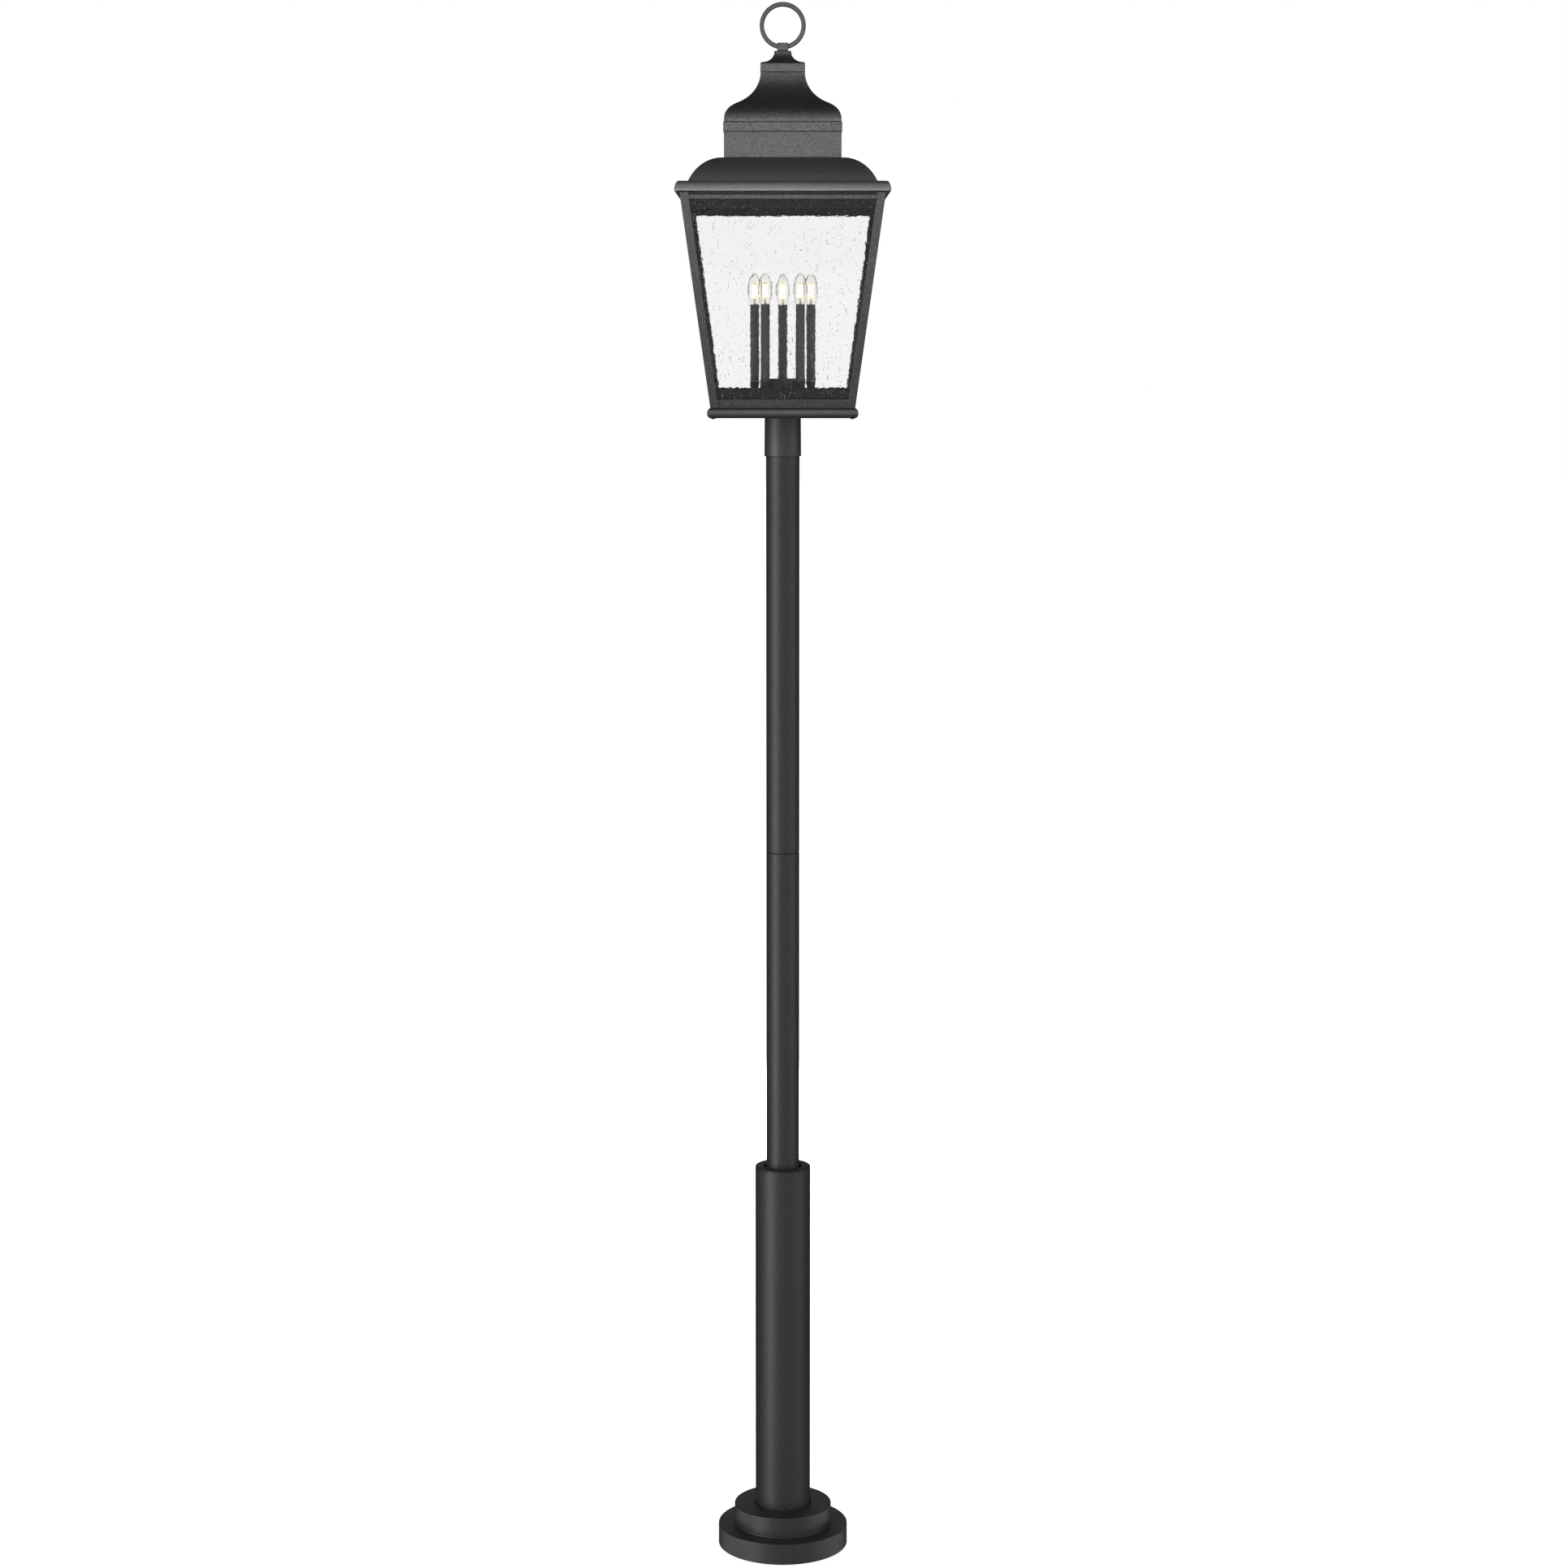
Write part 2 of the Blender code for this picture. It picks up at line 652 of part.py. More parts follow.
def make_glass_pane(place, degrees):
    name = "glass_pane_" + place
    turn = math.radians(degrees)

    def section(height):
        outer = cage_half(height) - GLASS_INSET
        inner = outer - GLASS_THICKNESS
        side = inner - GAP
        outline = [(-side, -outer), (side, -outer), (side, -inner), (-side, -inner)]
        cos, sin = math.cos(turn), math.sin(turn)
        return [(x * cos - y * sin, x * sin + y * cos) for x, y in outline]

    loft(name, section, GLASS_BOTTOM_Z, GLASS_TOP_Z, clear_glass(name))


def pane_stop(height, ledge_z):
    """The leg of a rail inside the panes, from the ledge to its free edge and back."""
    outer = [(cage_half(level) - STOP_INSET, level) for level in (ledge_z, height)]
    inner = [(half - STOP_THICKNESS, level) for half, level in reversed(outer)]
    return outer + inner


def make_bottom_frame():
    """The bottom rails, a channel mitred into a square, with a ledge and a stop for the panes."""
    face = cage_half(CAGE_BOTTOM_Z) - RAIL_INSET
    top_face = cage_half(BOTTOM_RAIL_TOP_Z) - RAIL_INSET
    ledge_z = CAGE_BOTTOM_Z + FLANGE_THICKNESS
    points = [
        (top_face, BOTTOM_RAIL_TOP_Z),
        (face, CAGE_BOTTOM_Z),
        (face - FLANGE_DEPTH, CAGE_BOTTOM_Z),
        (face - FLANGE_DEPTH, ledge_z),
    ]
    points += reversed(pane_stop(LOWER_STOP_TOP_Z, ledge_z))
    points += [
        (cage_half(ledge_z) - RAIL_INSET - RAIL_THICKNESS, ledge_z),
        (top_face - RAIL_THICKNESS, BOTTOM_RAIL_TOP_Z),
    ]
    square_turned("bottom_frame", points, powder_coat("bottom_frame"))


def make_top_frame():
    """The top rails, with a stepped face, an inward flange over the panes and a stop inside them."""
    step = TOP_RAIL_STEP
    ledge_z = CAGE_TOP_Z - FLANGE_THICKNESS

    def face(height):
        return cage_half(height) - RAIL_INSET

    points = [
        (face(CAGE_TOP_Z) - step, CAGE_TOP_Z),
        (face(TOP_RAIL_STEP_Z) - step, TOP_RAIL_STEP_Z),
        (face(TOP_RAIL_STEP_Z), TOP_RAIL_STEP_Z),
        (face(TOP_RAIL_BOTTOM_Z), TOP_RAIL_BOTTOM_Z),
        (face(TOP_RAIL_BOTTOM_Z) - RAIL_THICKNESS, TOP_RAIL_BOTTOM_Z),
        (face(ledge_z) - RAIL_THICKNESS, ledge_z),
    ]
    points += pane_stop(UPPER_STOP_BOTTOM_Z, ledge_z)
    points += [
        (face(CAGE_TOP_Z) - FLANGE_DEPTH, ledge_z),
        (face(CAGE_TOP_Z) - FLANGE_DEPTH, CAGE_TOP_Z),
    ]
    square_turned("top_frame", points, powder_coat("top_frame"))


# Candle cluster

def make_hub_pipe():
    tube("hub_pipe", PIPE_RADIUS, PIPE_BORE, PIPE_BOTTOM_Z, PIPE_TOP_Z, bare_steel("hub_pipe"), PIPE_STEPS)


def make_hub_nut():
    top = FITTER_TOP_Z - FITTER_FLANGE - GAP
    hex_nut("hub_nut", HUB_NUT_RADIUS, PIPE_HOLE, HUB_NUT_BOTTOM_Z, top, bare_steel("hub_nut"))


def candle_angle(index):
    """The candles stand on a pentagon with one of them at the back."""
    return 180.0 + 360.0 * index / CANDLE_COUNT


def arm_curve(name, degrees):
    """A round arm from the hub, out and up into its candle cup."""
    data = bpy.data.curves.new(name, "CURVE")
    data.dimensions = "3D"
    data.bevel_depth = ARM_RADIUS
    data.bevel_resolution = 1
    data.use_fill_caps = True
    route = [(HUB_RADIUS / 2.0, ARM_Z)]
    route += elliptic_arc((CANDLE_CIRCLE - ARM_BEND, ARM_Z + ARM_BEND), ARM_BEND, ARM_BEND, -90.0, 0.0, 4)
    spline = data.splines.new("POLY")
    spline.points.add(len(route) - 1)
    for point, (radius, height) in zip(spline.points, route):
        point.co = (*ring_position(radius, degrees, height), 1.0)
    curve = bpy.data.objects.new(name + "_curve", data)
    CUTTERS.objects.link(curve)
    depsgraph = bpy.context.evaluated_depsgraph_get()
    mesh = bpy.data.meshes.new_from_object(curve.evaluated_get(depsgraph))
    welded = bmesh.new()
    welded.from_mesh(mesh)
    bmesh.ops.remove_doubles(welded, verts=welded.verts, dist=0.00001)
    bmesh.ops.recalc_face_normals(welded, faces=welded.faces[:])
    welded.to_mesh(mesh)
    welded.free()
    arm = as_cutter(add_object(name, mesh, None, CUTTERS))
    arm.matrix_world = curve.matrix_world
    bpy.data.objects.remove(curve)
    return arm


def candle_cup(name, degrees):
    points = [
        (0.0, CUP_TOP_Z),
        (CUP_TOP_RADIUS, CUP_TOP_Z),
        (CUP_TOP_RADIUS, CUP_TOP_Z - CUP_WALL_HEIGHT),
        (CUP_BOTTOM_RADIUS, CUP_BOTTOM_Z),
        (0.0, CUP_BOTTOM_Z),
    ]
    cup = as_cutter(turned(name, points, None, LAMP_STEPS, closed=False, collection=CUTTERS))
    x, y, _ = ring_position(CANDLE_CIRCLE, degrees, 0.0)
    cup.location = (x, y, 0.0)
    return cup


def make_candle_cluster():
    """The cast hub with its five arms and cups, screwed on the pipe."""
    bore_top = PIPE_TOP_Z + GAP
    points = [
        (0.0, HUB_TOP_Z),
        (HUB_RADIUS, HUB_TOP_Z),
        (HUB_RADIUS, HUB_BOTTOM_Z + HUB_EDGE),
        (HUB_RADIUS - HUB_EDGE, HUB_BOTTOM_Z),
        (PIPE_HOLE, HUB_BOTTOM_Z),
        (PIPE_HOLE, bore_top),
        (0.0, bore_top),
    ]
    hub = turned("candle_cluster", points, powder_coat("candle_cluster"), ROD_STEPS, closed=False)
    for index in range(CANDLE_COUNT):
        degrees = candle_angle(index)
        unite(hub, arm_curve(f"cluster_arm_{index + 1}", degrees))
        unite(hub, candle_cup(f"cluster_cup_{index + 1}", degrees))
    bore = through_cutter("hub_bore", PIPE_HOLE, 0.0, 0.0, HUB_BOTTOM_Z, bore_top - CUT_MARGIN, ROD_STEPS)
    cut(hub, bore)


def make_cluster_disc():
    """The round cover over the hub, with a skirt down to the arms."""
    edge = SMALL_EDGE
    points = [
        (0.0, DISC_TOP_Z),
        (DISC_RADIUS - edge, DISC_TOP_Z),
        (DISC_RADIUS, DISC_TOP_Z - edge),
        (DISC_RADIUS, SKIRT_BOTTOM_Z),
        (DISC_RADIUS - SKIRT_WALL, SKIRT_BOTTOM_Z),
        (DISC_RADIUS - SKIRT_WALL, DISC_BOTTOM_Z),
        (0.0, DISC_BOTTOM_Z),
    ]
    turned("cluster_disc", points, powder_coat("cluster_disc"), DISC_STEPS, closed=False)


def make_candle_sleeve(index):
    name = f"candle_sleeve_{index + 1}"
    foot = CUP_TOP_Z + GAP
    sleeve = tube(name, CANDLE_RADIUS, CANDLE_BORE, foot, CANDLE_TOP_Z, powder_coat(name), PIPE_STEPS)
    sleeve.location = ring_position(CANDLE_CIRCLE, candle_angle(index), 0.0)


def make_lamp_holder(index):
    """The screw socket on its stem inside each candle sleeve."""
    name = f"lamp_holder_{index + 1}"
    foot = CUP_TOP_Z + GAP
    points = [
        (0.0, HOLDER_BORE_FLOOR_Z),
        (HOLDER_BORE, HOLDER_BORE_FLOOR_Z),
        (HOLDER_BORE, HOLDER_TOP_Z),
        (HOLDER_RADIUS, HOLDER_TOP_Z),
        (HOLDER_RADIUS, HOLDER_SHELL_BOTTOM_Z),
        (HOLDER_STEM_RADIUS, HOLDER_STEM_TOP_Z),
        (HOLDER_STEM_RADIUS, foot + HOLDER_FOOT_HEIGHT),
        (HOLDER_FOOT_RADIUS, foot + HOLDER_FOOT_HEIGHT),
        (HOLDER_FOOT_RADIUS, foot),
        (0.0, foot),
    ]
    holder = turned(name, points, phenolic(name), LAMP_STEPS, closed=False)
    holder.location = ring_position(CANDLE_CIRCLE, candle_angle(index), 0.0)


def bulb_profile():
    """A candle-shaped bulb: screw base, flared neck, rounded body and ogive tip."""
    upper = elliptic_arc((0.0, BULB_WAIST_Z), BULB_RADIUS, BULB_TIP_Z - BULB_WAIST_Z, 90.0, 0.0, 7)
    waist = (0.0, BULB_WAIST_Z)
    lower = elliptic_arc(waist, BULB_RADIUS, BULB_LOWER_SPAN, BULB_SWELL_START, BULB_SWELL_END, 3)
    upper[0] = (0.0, BULB_TIP_Z)
    base = [
        (BULB_NECK_RADIUS, BULB_NECK_Z),
        (BULB_BASE_RADIUS, BULB_NECK_Z - BULB_COLLAR_HEIGHT),
        (BULB_BASE_RADIUS, BULB_BASE_Z + BULB_CONTACT_HEIGHT),
        (BULB_CONTACT_RADIUS, BULB_BASE_Z),
        (0.0, BULB_BASE_Z),
    ]
    return upper + lower + base


def make_bulb(index):
    name = f"bulb_{index + 1}"
    bulb = turned(name, bulb_profile(), clear_glass(name), LAMP_STEPS, closed=False)
    bulb.location = ring_position(CANDLE_CIRCLE, candle_angle(index), 0.0)


# Roof suspension

def make_crossbar():
    bottom = CAGE_TOP_Z + GAP
    size = (2.0 * CROSSBAR_HALF_LENGTH, 2.0 * CROSSBAR_HALF_WIDTH, CROSSBAR_THICKNESS)
    centre = (0.0, 0.0, bottom + CROSSBAR_THICKNESS / 2.0)
    bar = box("crossbar", size, centre, powder_coat("crossbar"))
    top = bottom + CROSSBAR_THICKNESS
    cut(bar, through_cutter("crossbar_hole", NUT_BORE, 0.0, 0.0, bottom, top, ROD_STEPS))


def make_tie_rod():
    points = [(0.0, ROD_TOP_Z), (ROD_RADIUS, ROD_TOP_Z), (ROD_RADIUS, ROD_BOTTOM_Z), (0.0, ROD_BOTTOM_Z)]
    turned("tie_rod", points, bare_steel("tie_rod"), ROD_STEPS, closed=False)


def make_rod_nut():
    top = CAGE_TOP_Z
    hex_nut("rod_nut", NUT_RADIUS, NUT_BORE, top - NUT_HEIGHT, top, bare_steel("rod_nut"))


def make_coupling_nut():
    hex_nut("coupling_nut", NUT_RADIUS, NUT_BORE, COUPLING_BOTTOM_Z, COUPLING_TOP_Z, bare_steel("coupling_nut"))


# Roof

def make_eave_moulding():
    centre = (EAVE_HALF - EAVE_ROUND, EAVE_BOTTOM_Z)
    ledge_half = EAVE_INNER_HALF - EAVE_LEDGE
    points = [(ledge_half, EAVE_TOP_Z)]
    points += elliptic_arc(centre, EAVE_ROUND, EAVE_TOP_Z - EAVE_BOTTOM_Z, 90.0, 0.0, 8)
    points += [
        (EAVE_INNER_HALF, EAVE_BOTTOM_Z),
        (EAVE_INNER_HALF, EAVE_TOP_Z - EAVE_LEDGE_THICKNESS),
        (ledge_half, EAVE_TOP_Z - EAVE_LEDGE_THICKNESS),
    ]
    square_turned("eave_moulding", points, powder_coat("eave_moulding"))


def make_pan_roof():
    """The low convex roof between the eave and the neck."""
    reach = PAN_ROOF_EDGE_HALF - NECK_HALF
    sweep = 90.0 - math.degrees(math.asin(reach / PAN_ROOF_SPREAD))
    centre = (NECK_HALF, PAN_ROOF_TOP_Z - PAN_ROOF_DROP)
    outer = elliptic_arc(centre, PAN_ROOF_SPREAD, PAN_ROOF_DROP, 90.0, sweep, 12)
    edge_rise = PAN_ROOF_DROP * math.sin(math.radians(sweep))
    inner_sweep = math.degrees(math.asin(edge_rise / (PAN_ROOF_DROP - SHEET)))
    inner = elliptic_arc(centre, PAN_ROOF_SPREAD - SHEET, PAN_ROOF_DROP - SHEET, inner_sweep, 90.0, 12)
    points = [(NECK_OPENING_HALF, PAN_ROOF_TOP_Z)] + outer
    points += inner + [(NECK_OPENING_HALF, PAN_ROOF_TOP_Z - SHEET)]
    square_turned("pan_roof", points, powder_coat("pan_roof"))


def make_neck_box():
    bottom = PAN_ROOF_TOP_Z + GAP
    inner = NECK_HALF - SHEET
    points = [(NECK_HALF, NECK_TOP_Z), (NECK_HALF, bottom), (inner, bottom), (inner, NECK_TOP_Z)]
    square_turned("neck_box", points, powder_coat("neck_box"))


def make_collar_band():
    bottom = NECK_TOP_Z + GAP
    edge = BAND_EDGE
    points = [
        (BAND_HALF - edge, BAND_TOP_Z),
        (BAND_HALF, BAND_TOP_Z - edge),
        (BAND_HALF, bottom + edge),
        (BAND_HALF - edge, bottom),
        (BAND_INNER_HALF, bottom),
        (BAND_INNER_HALF, BAND_TOP_Z),
    ]
    square_turned("collar_band", points, powder_coat("collar_band"))


def bell_outline(inset):
    """The ogee from the top down: a hollow sweep into a round shoulder and a short wall."""
    bottom = BAND_TOP_Z + GAP
    shoulder_centre = (BELL_HALF - SHOULDER_WIDTH, bottom + BELL_STRAIGHT)
    lean = (OGEE_JOIN_HALF - shoulder_centre[0]) / SHOULDER_WIDTH
    shoulder_start = math.degrees(math.acos(lean))
    join_z = shoulder_centre[1] + SHOULDER_HEIGHT * math.sin(math.radians(shoulder_start))
    sweep = math.degrees(math.asin((BELL_TOP_Z - join_z) / OGEE_HEIGHT))
    sweep_centre = (BELL_TOP_HALF + OGEE_WIDTH, BELL_TOP_Z)
    width, height = OGEE_WIDTH + inset, OGEE_HEIGHT + inset
    points = elliptic_arc(sweep_centre, width, height, 180.0, 180.0 + sweep, 12)
    width, height = SHOULDER_WIDTH - inset, SHOULDER_HEIGHT - inset
    points += elliptic_arc(shoulder_centre, width, height, shoulder_start, 0.0, 8)[1:]
    points.append((BELL_HALF - inset, bottom))
    return points


def make_bell_roof():
    top_inner = [(ROD_HOLE_HALF, BELL_TOP_Z - SHEET), (ROD_HOLE_HALF, BELL_TOP_Z)]
    inner = bell_outline(SHEET)
    inner[0] = (inner[0][0], BELL_TOP_Z - SHEET)
    inner.reverse()
    square_turned("bell_roof", bell_outline(0.0) + inner + top_inner, powder_coat("bell_roof"))


def make_cap():
    """The square cap: a plain band below a hollow cove up to the finial's seat."""
    bottom = BELL_TOP_Z + GAP
    centre = (CAP_TOP_HALF + COVE_WIDTH, CAP_TOP_Z - CAP_SEAT)
    cove = elliptic_arc(centre, COVE_WIDTH, COVE_HEIGHT, 180.0, COVE_END, 8)
    points = [(STEM_HOLE_HALF, CAP_TOP_Z), (CAP_TOP_HALF, CAP_TOP_Z)] + cove
    points += [
        (CAP_HALF - CAP_BEVEL, CAP_BAND_TOP_Z),
        (CAP_HALF, CAP_BAND_TOP_Z - CAP_BEVEL),
        (CAP_HALF, bottom),
        (CAP_HALF - CAP_SHEET, bottom),
        (CAP_HALF - CAP_SHEET, CAP_EDGE_CEILING_Z),
        (CAP_FLOOR_HALF, CAP_FLOOR_CEILING_Z),
        (CAP_FLOOR_HALF, CAP_TOP_Z - CAP_SHEET),
        (STEM_HOLE_HALF, CAP_TOP_Z - CAP_SHEET),
    ]
    square_turned("roof_cap", points, powder_coat("roof_cap"))


# Finial

def ring_object(name, clearance, material, collection=None):
    """A flat-sided ring standing upright across X, with small chamfers."""
    outer = RING_OUTER_RADIUS + clearance
    inner = RING_INNER_RADIUS - clearance
    half = RING_HALF_DEPTH + clearance
    edge = RING_CHAMFER
    points = [
        (outer - edge, half),
        (outer, half - edge),
        (outer, edge - half),
        (outer - edge, -half),
        (inner + edge, -half),
        (inner, edge - half),
        (inner, half - edge),
        (inner + edge, half),
    ]
    ring = turned(name, points, material, POST_STEPS, collection=collection)
    ring.location = (0.0, 0.0, RING_CENTRE_Z)
    ring.rotation_euler = (math.radians(90.0), 0.0, 0.0)
    return ring


def make_finial_ring():
    ring_object("finial_ring", 0.0, powder_coat("finial_ring"))


def make_finial_holder():
    """The square block that clasps the ring, with the threaded stem that holds the roof."""
    bottom = CAP_TOP_Z + GAP
    height = HOLDER_BLOCK_TOP_Z - bottom
    size = (2.0 * HOLDER_BLOCK_HALF, 2.0 * HOLDER_BLOCK_HALF, height)
    block = box("finial_holder", size, (0.0, 0.0, bottom + height / 2.0), powder_coat("finial_holder"))
    bevel = block.modifiers.new("Edges", "BEVEL")
    bevel.width = HOLDER_BLOCK_EDGE
    bevel.segments = 1
    stem_length = bottom + CUT_MARGIN - STEM_BOTTOM_Z
    stem = cutter_cylinder("finial_stem", STEM_RADIUS, stem_length, ROD_STEPS)
    stem.location = (0.0, 0.0, STEM_BOTTOM_Z + stem_length / 2.0)
    unite(block, stem)
    cut(block, as_cutter(ring_object("ring_channel", GAP, None, CUTTERS)))


# Assembly

make_anchor_plate()
make_post_socket()
make_lower_sleeve()
make_sleeve_cap()
for number, place_angle in enumerate(SLEEVE_SCREW_ANGLES):
    make_sleeve_screw(number, place_angle)
make_posts()
make_post_coupler()
make_base_cover()

make_fitter()
for number, place_angle in enumerate(FITTER_SCREW_ANGLES):
    make_fitter_screw(number, place_angle)
make_bottom_moulding()
make_bottom_pan()
for corner, corner_signs in CORNERS.items():
    make_corner_post(corner, corner_signs)
for side, side_angle in {"front": 0.0, "right": 90.0, "back": 180.0, "left": 270.0}.items():
    make_glass_pane(side, side_angle)
make_bottom_frame()
make_top_frame()

make_hub_pipe()
make_hub_nut()
make_candle_cluster()
make_cluster_disc()
for number in range(CANDLE_COUNT):
    make_candle_sleeve(number)
    make_lamp_holder(number)
    make_bulb(number)

make_crossbar()
make_tie_rod()
make_rod_nut()
make_coupling_nut()

make_eave_moulding()
make_pan_roof()
make_neck_box()
make_collar_band()
make_bell_roof()
make_cap()
make_finial_ring()
make_finial_holder()
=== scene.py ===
"""Looks of the post lantern: a sand-textured powder coat, seeded glass and lit candle lamps.

Every round or mitred CAD node that shows is made again here from its own outline, with
finer turning and rounded edges. Metres, in the same frame as the CAD model.
"""

import json
import math
import random

import bmesh
import bpy
from mathutils import Matrix, Vector

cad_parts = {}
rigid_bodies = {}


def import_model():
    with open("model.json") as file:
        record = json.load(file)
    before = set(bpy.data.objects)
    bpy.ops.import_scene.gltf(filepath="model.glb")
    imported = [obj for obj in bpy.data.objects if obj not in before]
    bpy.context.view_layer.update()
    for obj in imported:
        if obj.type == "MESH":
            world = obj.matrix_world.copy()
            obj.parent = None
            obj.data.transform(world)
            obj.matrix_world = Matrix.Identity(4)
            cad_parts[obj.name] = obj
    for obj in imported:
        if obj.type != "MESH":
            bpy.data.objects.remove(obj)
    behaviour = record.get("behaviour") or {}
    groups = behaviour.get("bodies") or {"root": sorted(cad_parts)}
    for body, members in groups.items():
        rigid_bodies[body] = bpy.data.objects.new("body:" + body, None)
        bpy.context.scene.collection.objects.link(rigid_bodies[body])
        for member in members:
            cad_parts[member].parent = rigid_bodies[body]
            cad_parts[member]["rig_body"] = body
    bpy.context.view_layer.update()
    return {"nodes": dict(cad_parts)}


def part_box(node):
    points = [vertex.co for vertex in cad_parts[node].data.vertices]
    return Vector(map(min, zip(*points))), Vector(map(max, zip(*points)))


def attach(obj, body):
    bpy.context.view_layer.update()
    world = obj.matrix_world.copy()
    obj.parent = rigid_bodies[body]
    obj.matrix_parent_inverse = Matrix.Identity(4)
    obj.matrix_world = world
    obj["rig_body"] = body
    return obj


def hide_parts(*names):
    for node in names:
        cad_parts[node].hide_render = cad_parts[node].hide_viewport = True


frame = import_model()
NODES = frame["nodes"]
LAMP_NUMBERS = range(1, 6)
SIDES = {"front": 0.0, "right": 90.0, "back": 180.0, "left": 270.0}


# Camera

SENSOR_MM = 36.0
LENS_MM = 72.3
CAMERA_DISTANCE = 7.191
CAMERA_HEIGHT = 2.8144
CAMERA_TILT = 7.865
CAMERA_SIDE = 0.0028
CAMERA_REACH = 200.0


def add_camera():
    data = bpy.data.cameras.new("camera")
    data.sensor_width = SENSOR_MM
    data.lens = LENS_MM
    data.clip_end = CAMERA_REACH
    camera = bpy.data.objects.new("camera", data)
    camera.location = (CAMERA_SIDE, -CAMERA_DISTANCE, CAMERA_HEIGHT)
    camera.rotation_euler = (math.radians(90.0 - CAMERA_TILT), 0.0, 0.0)
    bpy.context.scene.collection.objects.link(camera)
    bpy.context.scene.camera = camera


# Node helpers

def new_material(name):
    material = bpy.data.materials.new(name)
    material.use_nodes = True
    tree = material.node_tree
    return material, tree, tree.nodes["Principled BSDF"]


def node(tree, kind, **inputs):
    item = tree.nodes.new(kind)
    for key, value in inputs.items():
        item.inputs[key.replace("_", " ")].default_value = value
    return item


def noise(tree, vector, scale, detail, roughness=0.5):
    item = node(tree, "ShaderNodeTexNoise", Scale=scale, Detail=detail, Roughness=roughness)
    tree.links.new(vector, item.inputs["Vector"])
    return item.outputs["Fac"]


def ramp(tree, fac, stops):
    item = tree.nodes.new("ShaderNodeValToRGB")
    elements = item.color_ramp.elements
    while len(elements) < len(stops):
        elements.new(0.5)
    for element, (position, color) in zip(elements, stops):
        element.position = position
        element.color = (*color, 1.0)
    tree.links.new(fac, item.inputs["Fac"])
    return item.outputs["Color"]


def spread(tree, fac, low, high, bottom, top):
    """Map the span low to high of a value onto bottom to top."""
    item = tree.nodes.new("ShaderNodeMapRange")
    for key, value in zip(("From Min", "From Max", "To Min", "To Max"), (low, high, bottom, top)):
        item.inputs[key].default_value = value
    tree.links.new(fac, item.inputs["Value"])
    return item.outputs["Result"]


def bump(tree, height, distance, strength=1.0, normal=None):
    item = node(tree, "ShaderNodeBump", Distance=distance, Strength=strength)
    tree.links.new(height, item.inputs["Height"])
    if normal is not None:
        tree.links.new(normal, item.inputs["Normal"])
    return item.outputs["Normal"]


def object_space(tree):
    return tree.nodes.new("ShaderNodeTexCoord").outputs["Object"]


def grey(value, warmth=0.0):
    return (value * (1.0 + warmth), value, value * (1.0 - warmth))


# Materials

# Noise scales of the coat, in features per metre, and the relief of its grains
GRAIN_SCALE = 1300.0
PEBBLE_SCALE = 480.0
GLINT_SCALE = 500.0
CLOUD_SCALE = 7.0
GRAIN_HEIGHT = 0.0001
PEBBLE_HEIGHT = 0.0004
RELIEF = 0.6


def powder_coat(name, tone, roughness=0.47, shine=0.5, grit=1.0):
    """Sand-textured powder coat: fine grains in relief, and a mottle a few millimetres across."""
    material, tree, shader = new_material(name)
    space = object_space(tree)
    fine = noise(tree, space, GRAIN_SCALE, 2.0, 0.6)
    coarse = noise(tree, space, PEBBLE_SCALE, 3.0, 0.6)
    cloudy = noise(tree, space, CLOUD_SCALE, 3.0)
    mix = tree.nodes.new("ShaderNodeMath")
    mix.operation = "ADD"
    tree.links.new(spread(tree, fine, 0.3, 0.7, -0.25, 0.25), mix.inputs[0])
    tree.links.new(spread(tree, coarse, 0.3, 0.7, 0.0, 1.0), mix.inputs[1])
    low, high = tone * (1.0 - 0.55 * grit), tone * (1.0 + 0.8 * grit)
    stops = [(0.0, grey(low, -0.015)), (0.5, grey(tone)), (1.0, grey(high, 0.01))]
    color = ramp(tree, mix.outputs[0], stops)
    shade = tree.nodes.new("ShaderNodeMix")
    shade.data_type = "RGBA"
    shade.blend_type = "MULTIPLY"
    shade.inputs["Factor"].default_value = 1.0
    tree.links.new(color, shade.inputs["A"])
    tree.links.new(ramp(tree, cloudy, [(0.3, grey(0.86)), (0.7, grey(1.0))]), shade.inputs["B"])
    tree.links.new(shade.outputs["Result"], shader.inputs["Base Color"])
    rough = spread(tree, coarse, 0.3, 0.7, roughness - 0.08, roughness + 0.10)
    tree.links.new(rough, shader.inputs["Roughness"])
    grain = noise(tree, space, GLINT_SCALE, 1.0)
    glint = spread(tree, grain, 0.35, 0.65, shine * (1.0 - 0.5 * grit), shine * (1.0 + 0.5 * grit))
    tree.links.new(glint, shader.inputs["Specular IOR Level"])
    pebbles = bump(tree, coarse, PEBBLE_HEIGHT, RELIEF * grit)
    tree.links.new(bump(tree, fine, GRAIN_HEIGHT, RELIEF * grit, pebbles), shader.inputs["Normal"])
    return material


def zinc_steel():
    """Dull plated steel with fine handling marks."""
    material, tree, shader = new_material("zinc_steel")
    space = object_space(tree)
    spangle = noise(tree, space, 60.0, 5.0, 0.7)
    scratch = noise(tree, space, 900.0, 2.0)
    color = ramp(tree, spangle, [(0.3, grey(0.28)), (0.7, grey(0.42, 0.01))])
    tree.links.new(color, shader.inputs["Base Color"])
    shader.inputs["Metallic"].default_value = 1.0
    tree.links.new(spread(tree, spangle, 0.3, 0.7, 0.28, 0.5), shader.inputs["Roughness"])
    tree.links.new(bump(tree, scratch, 0.0001, 0.4), shader.inputs["Normal"])
    return material


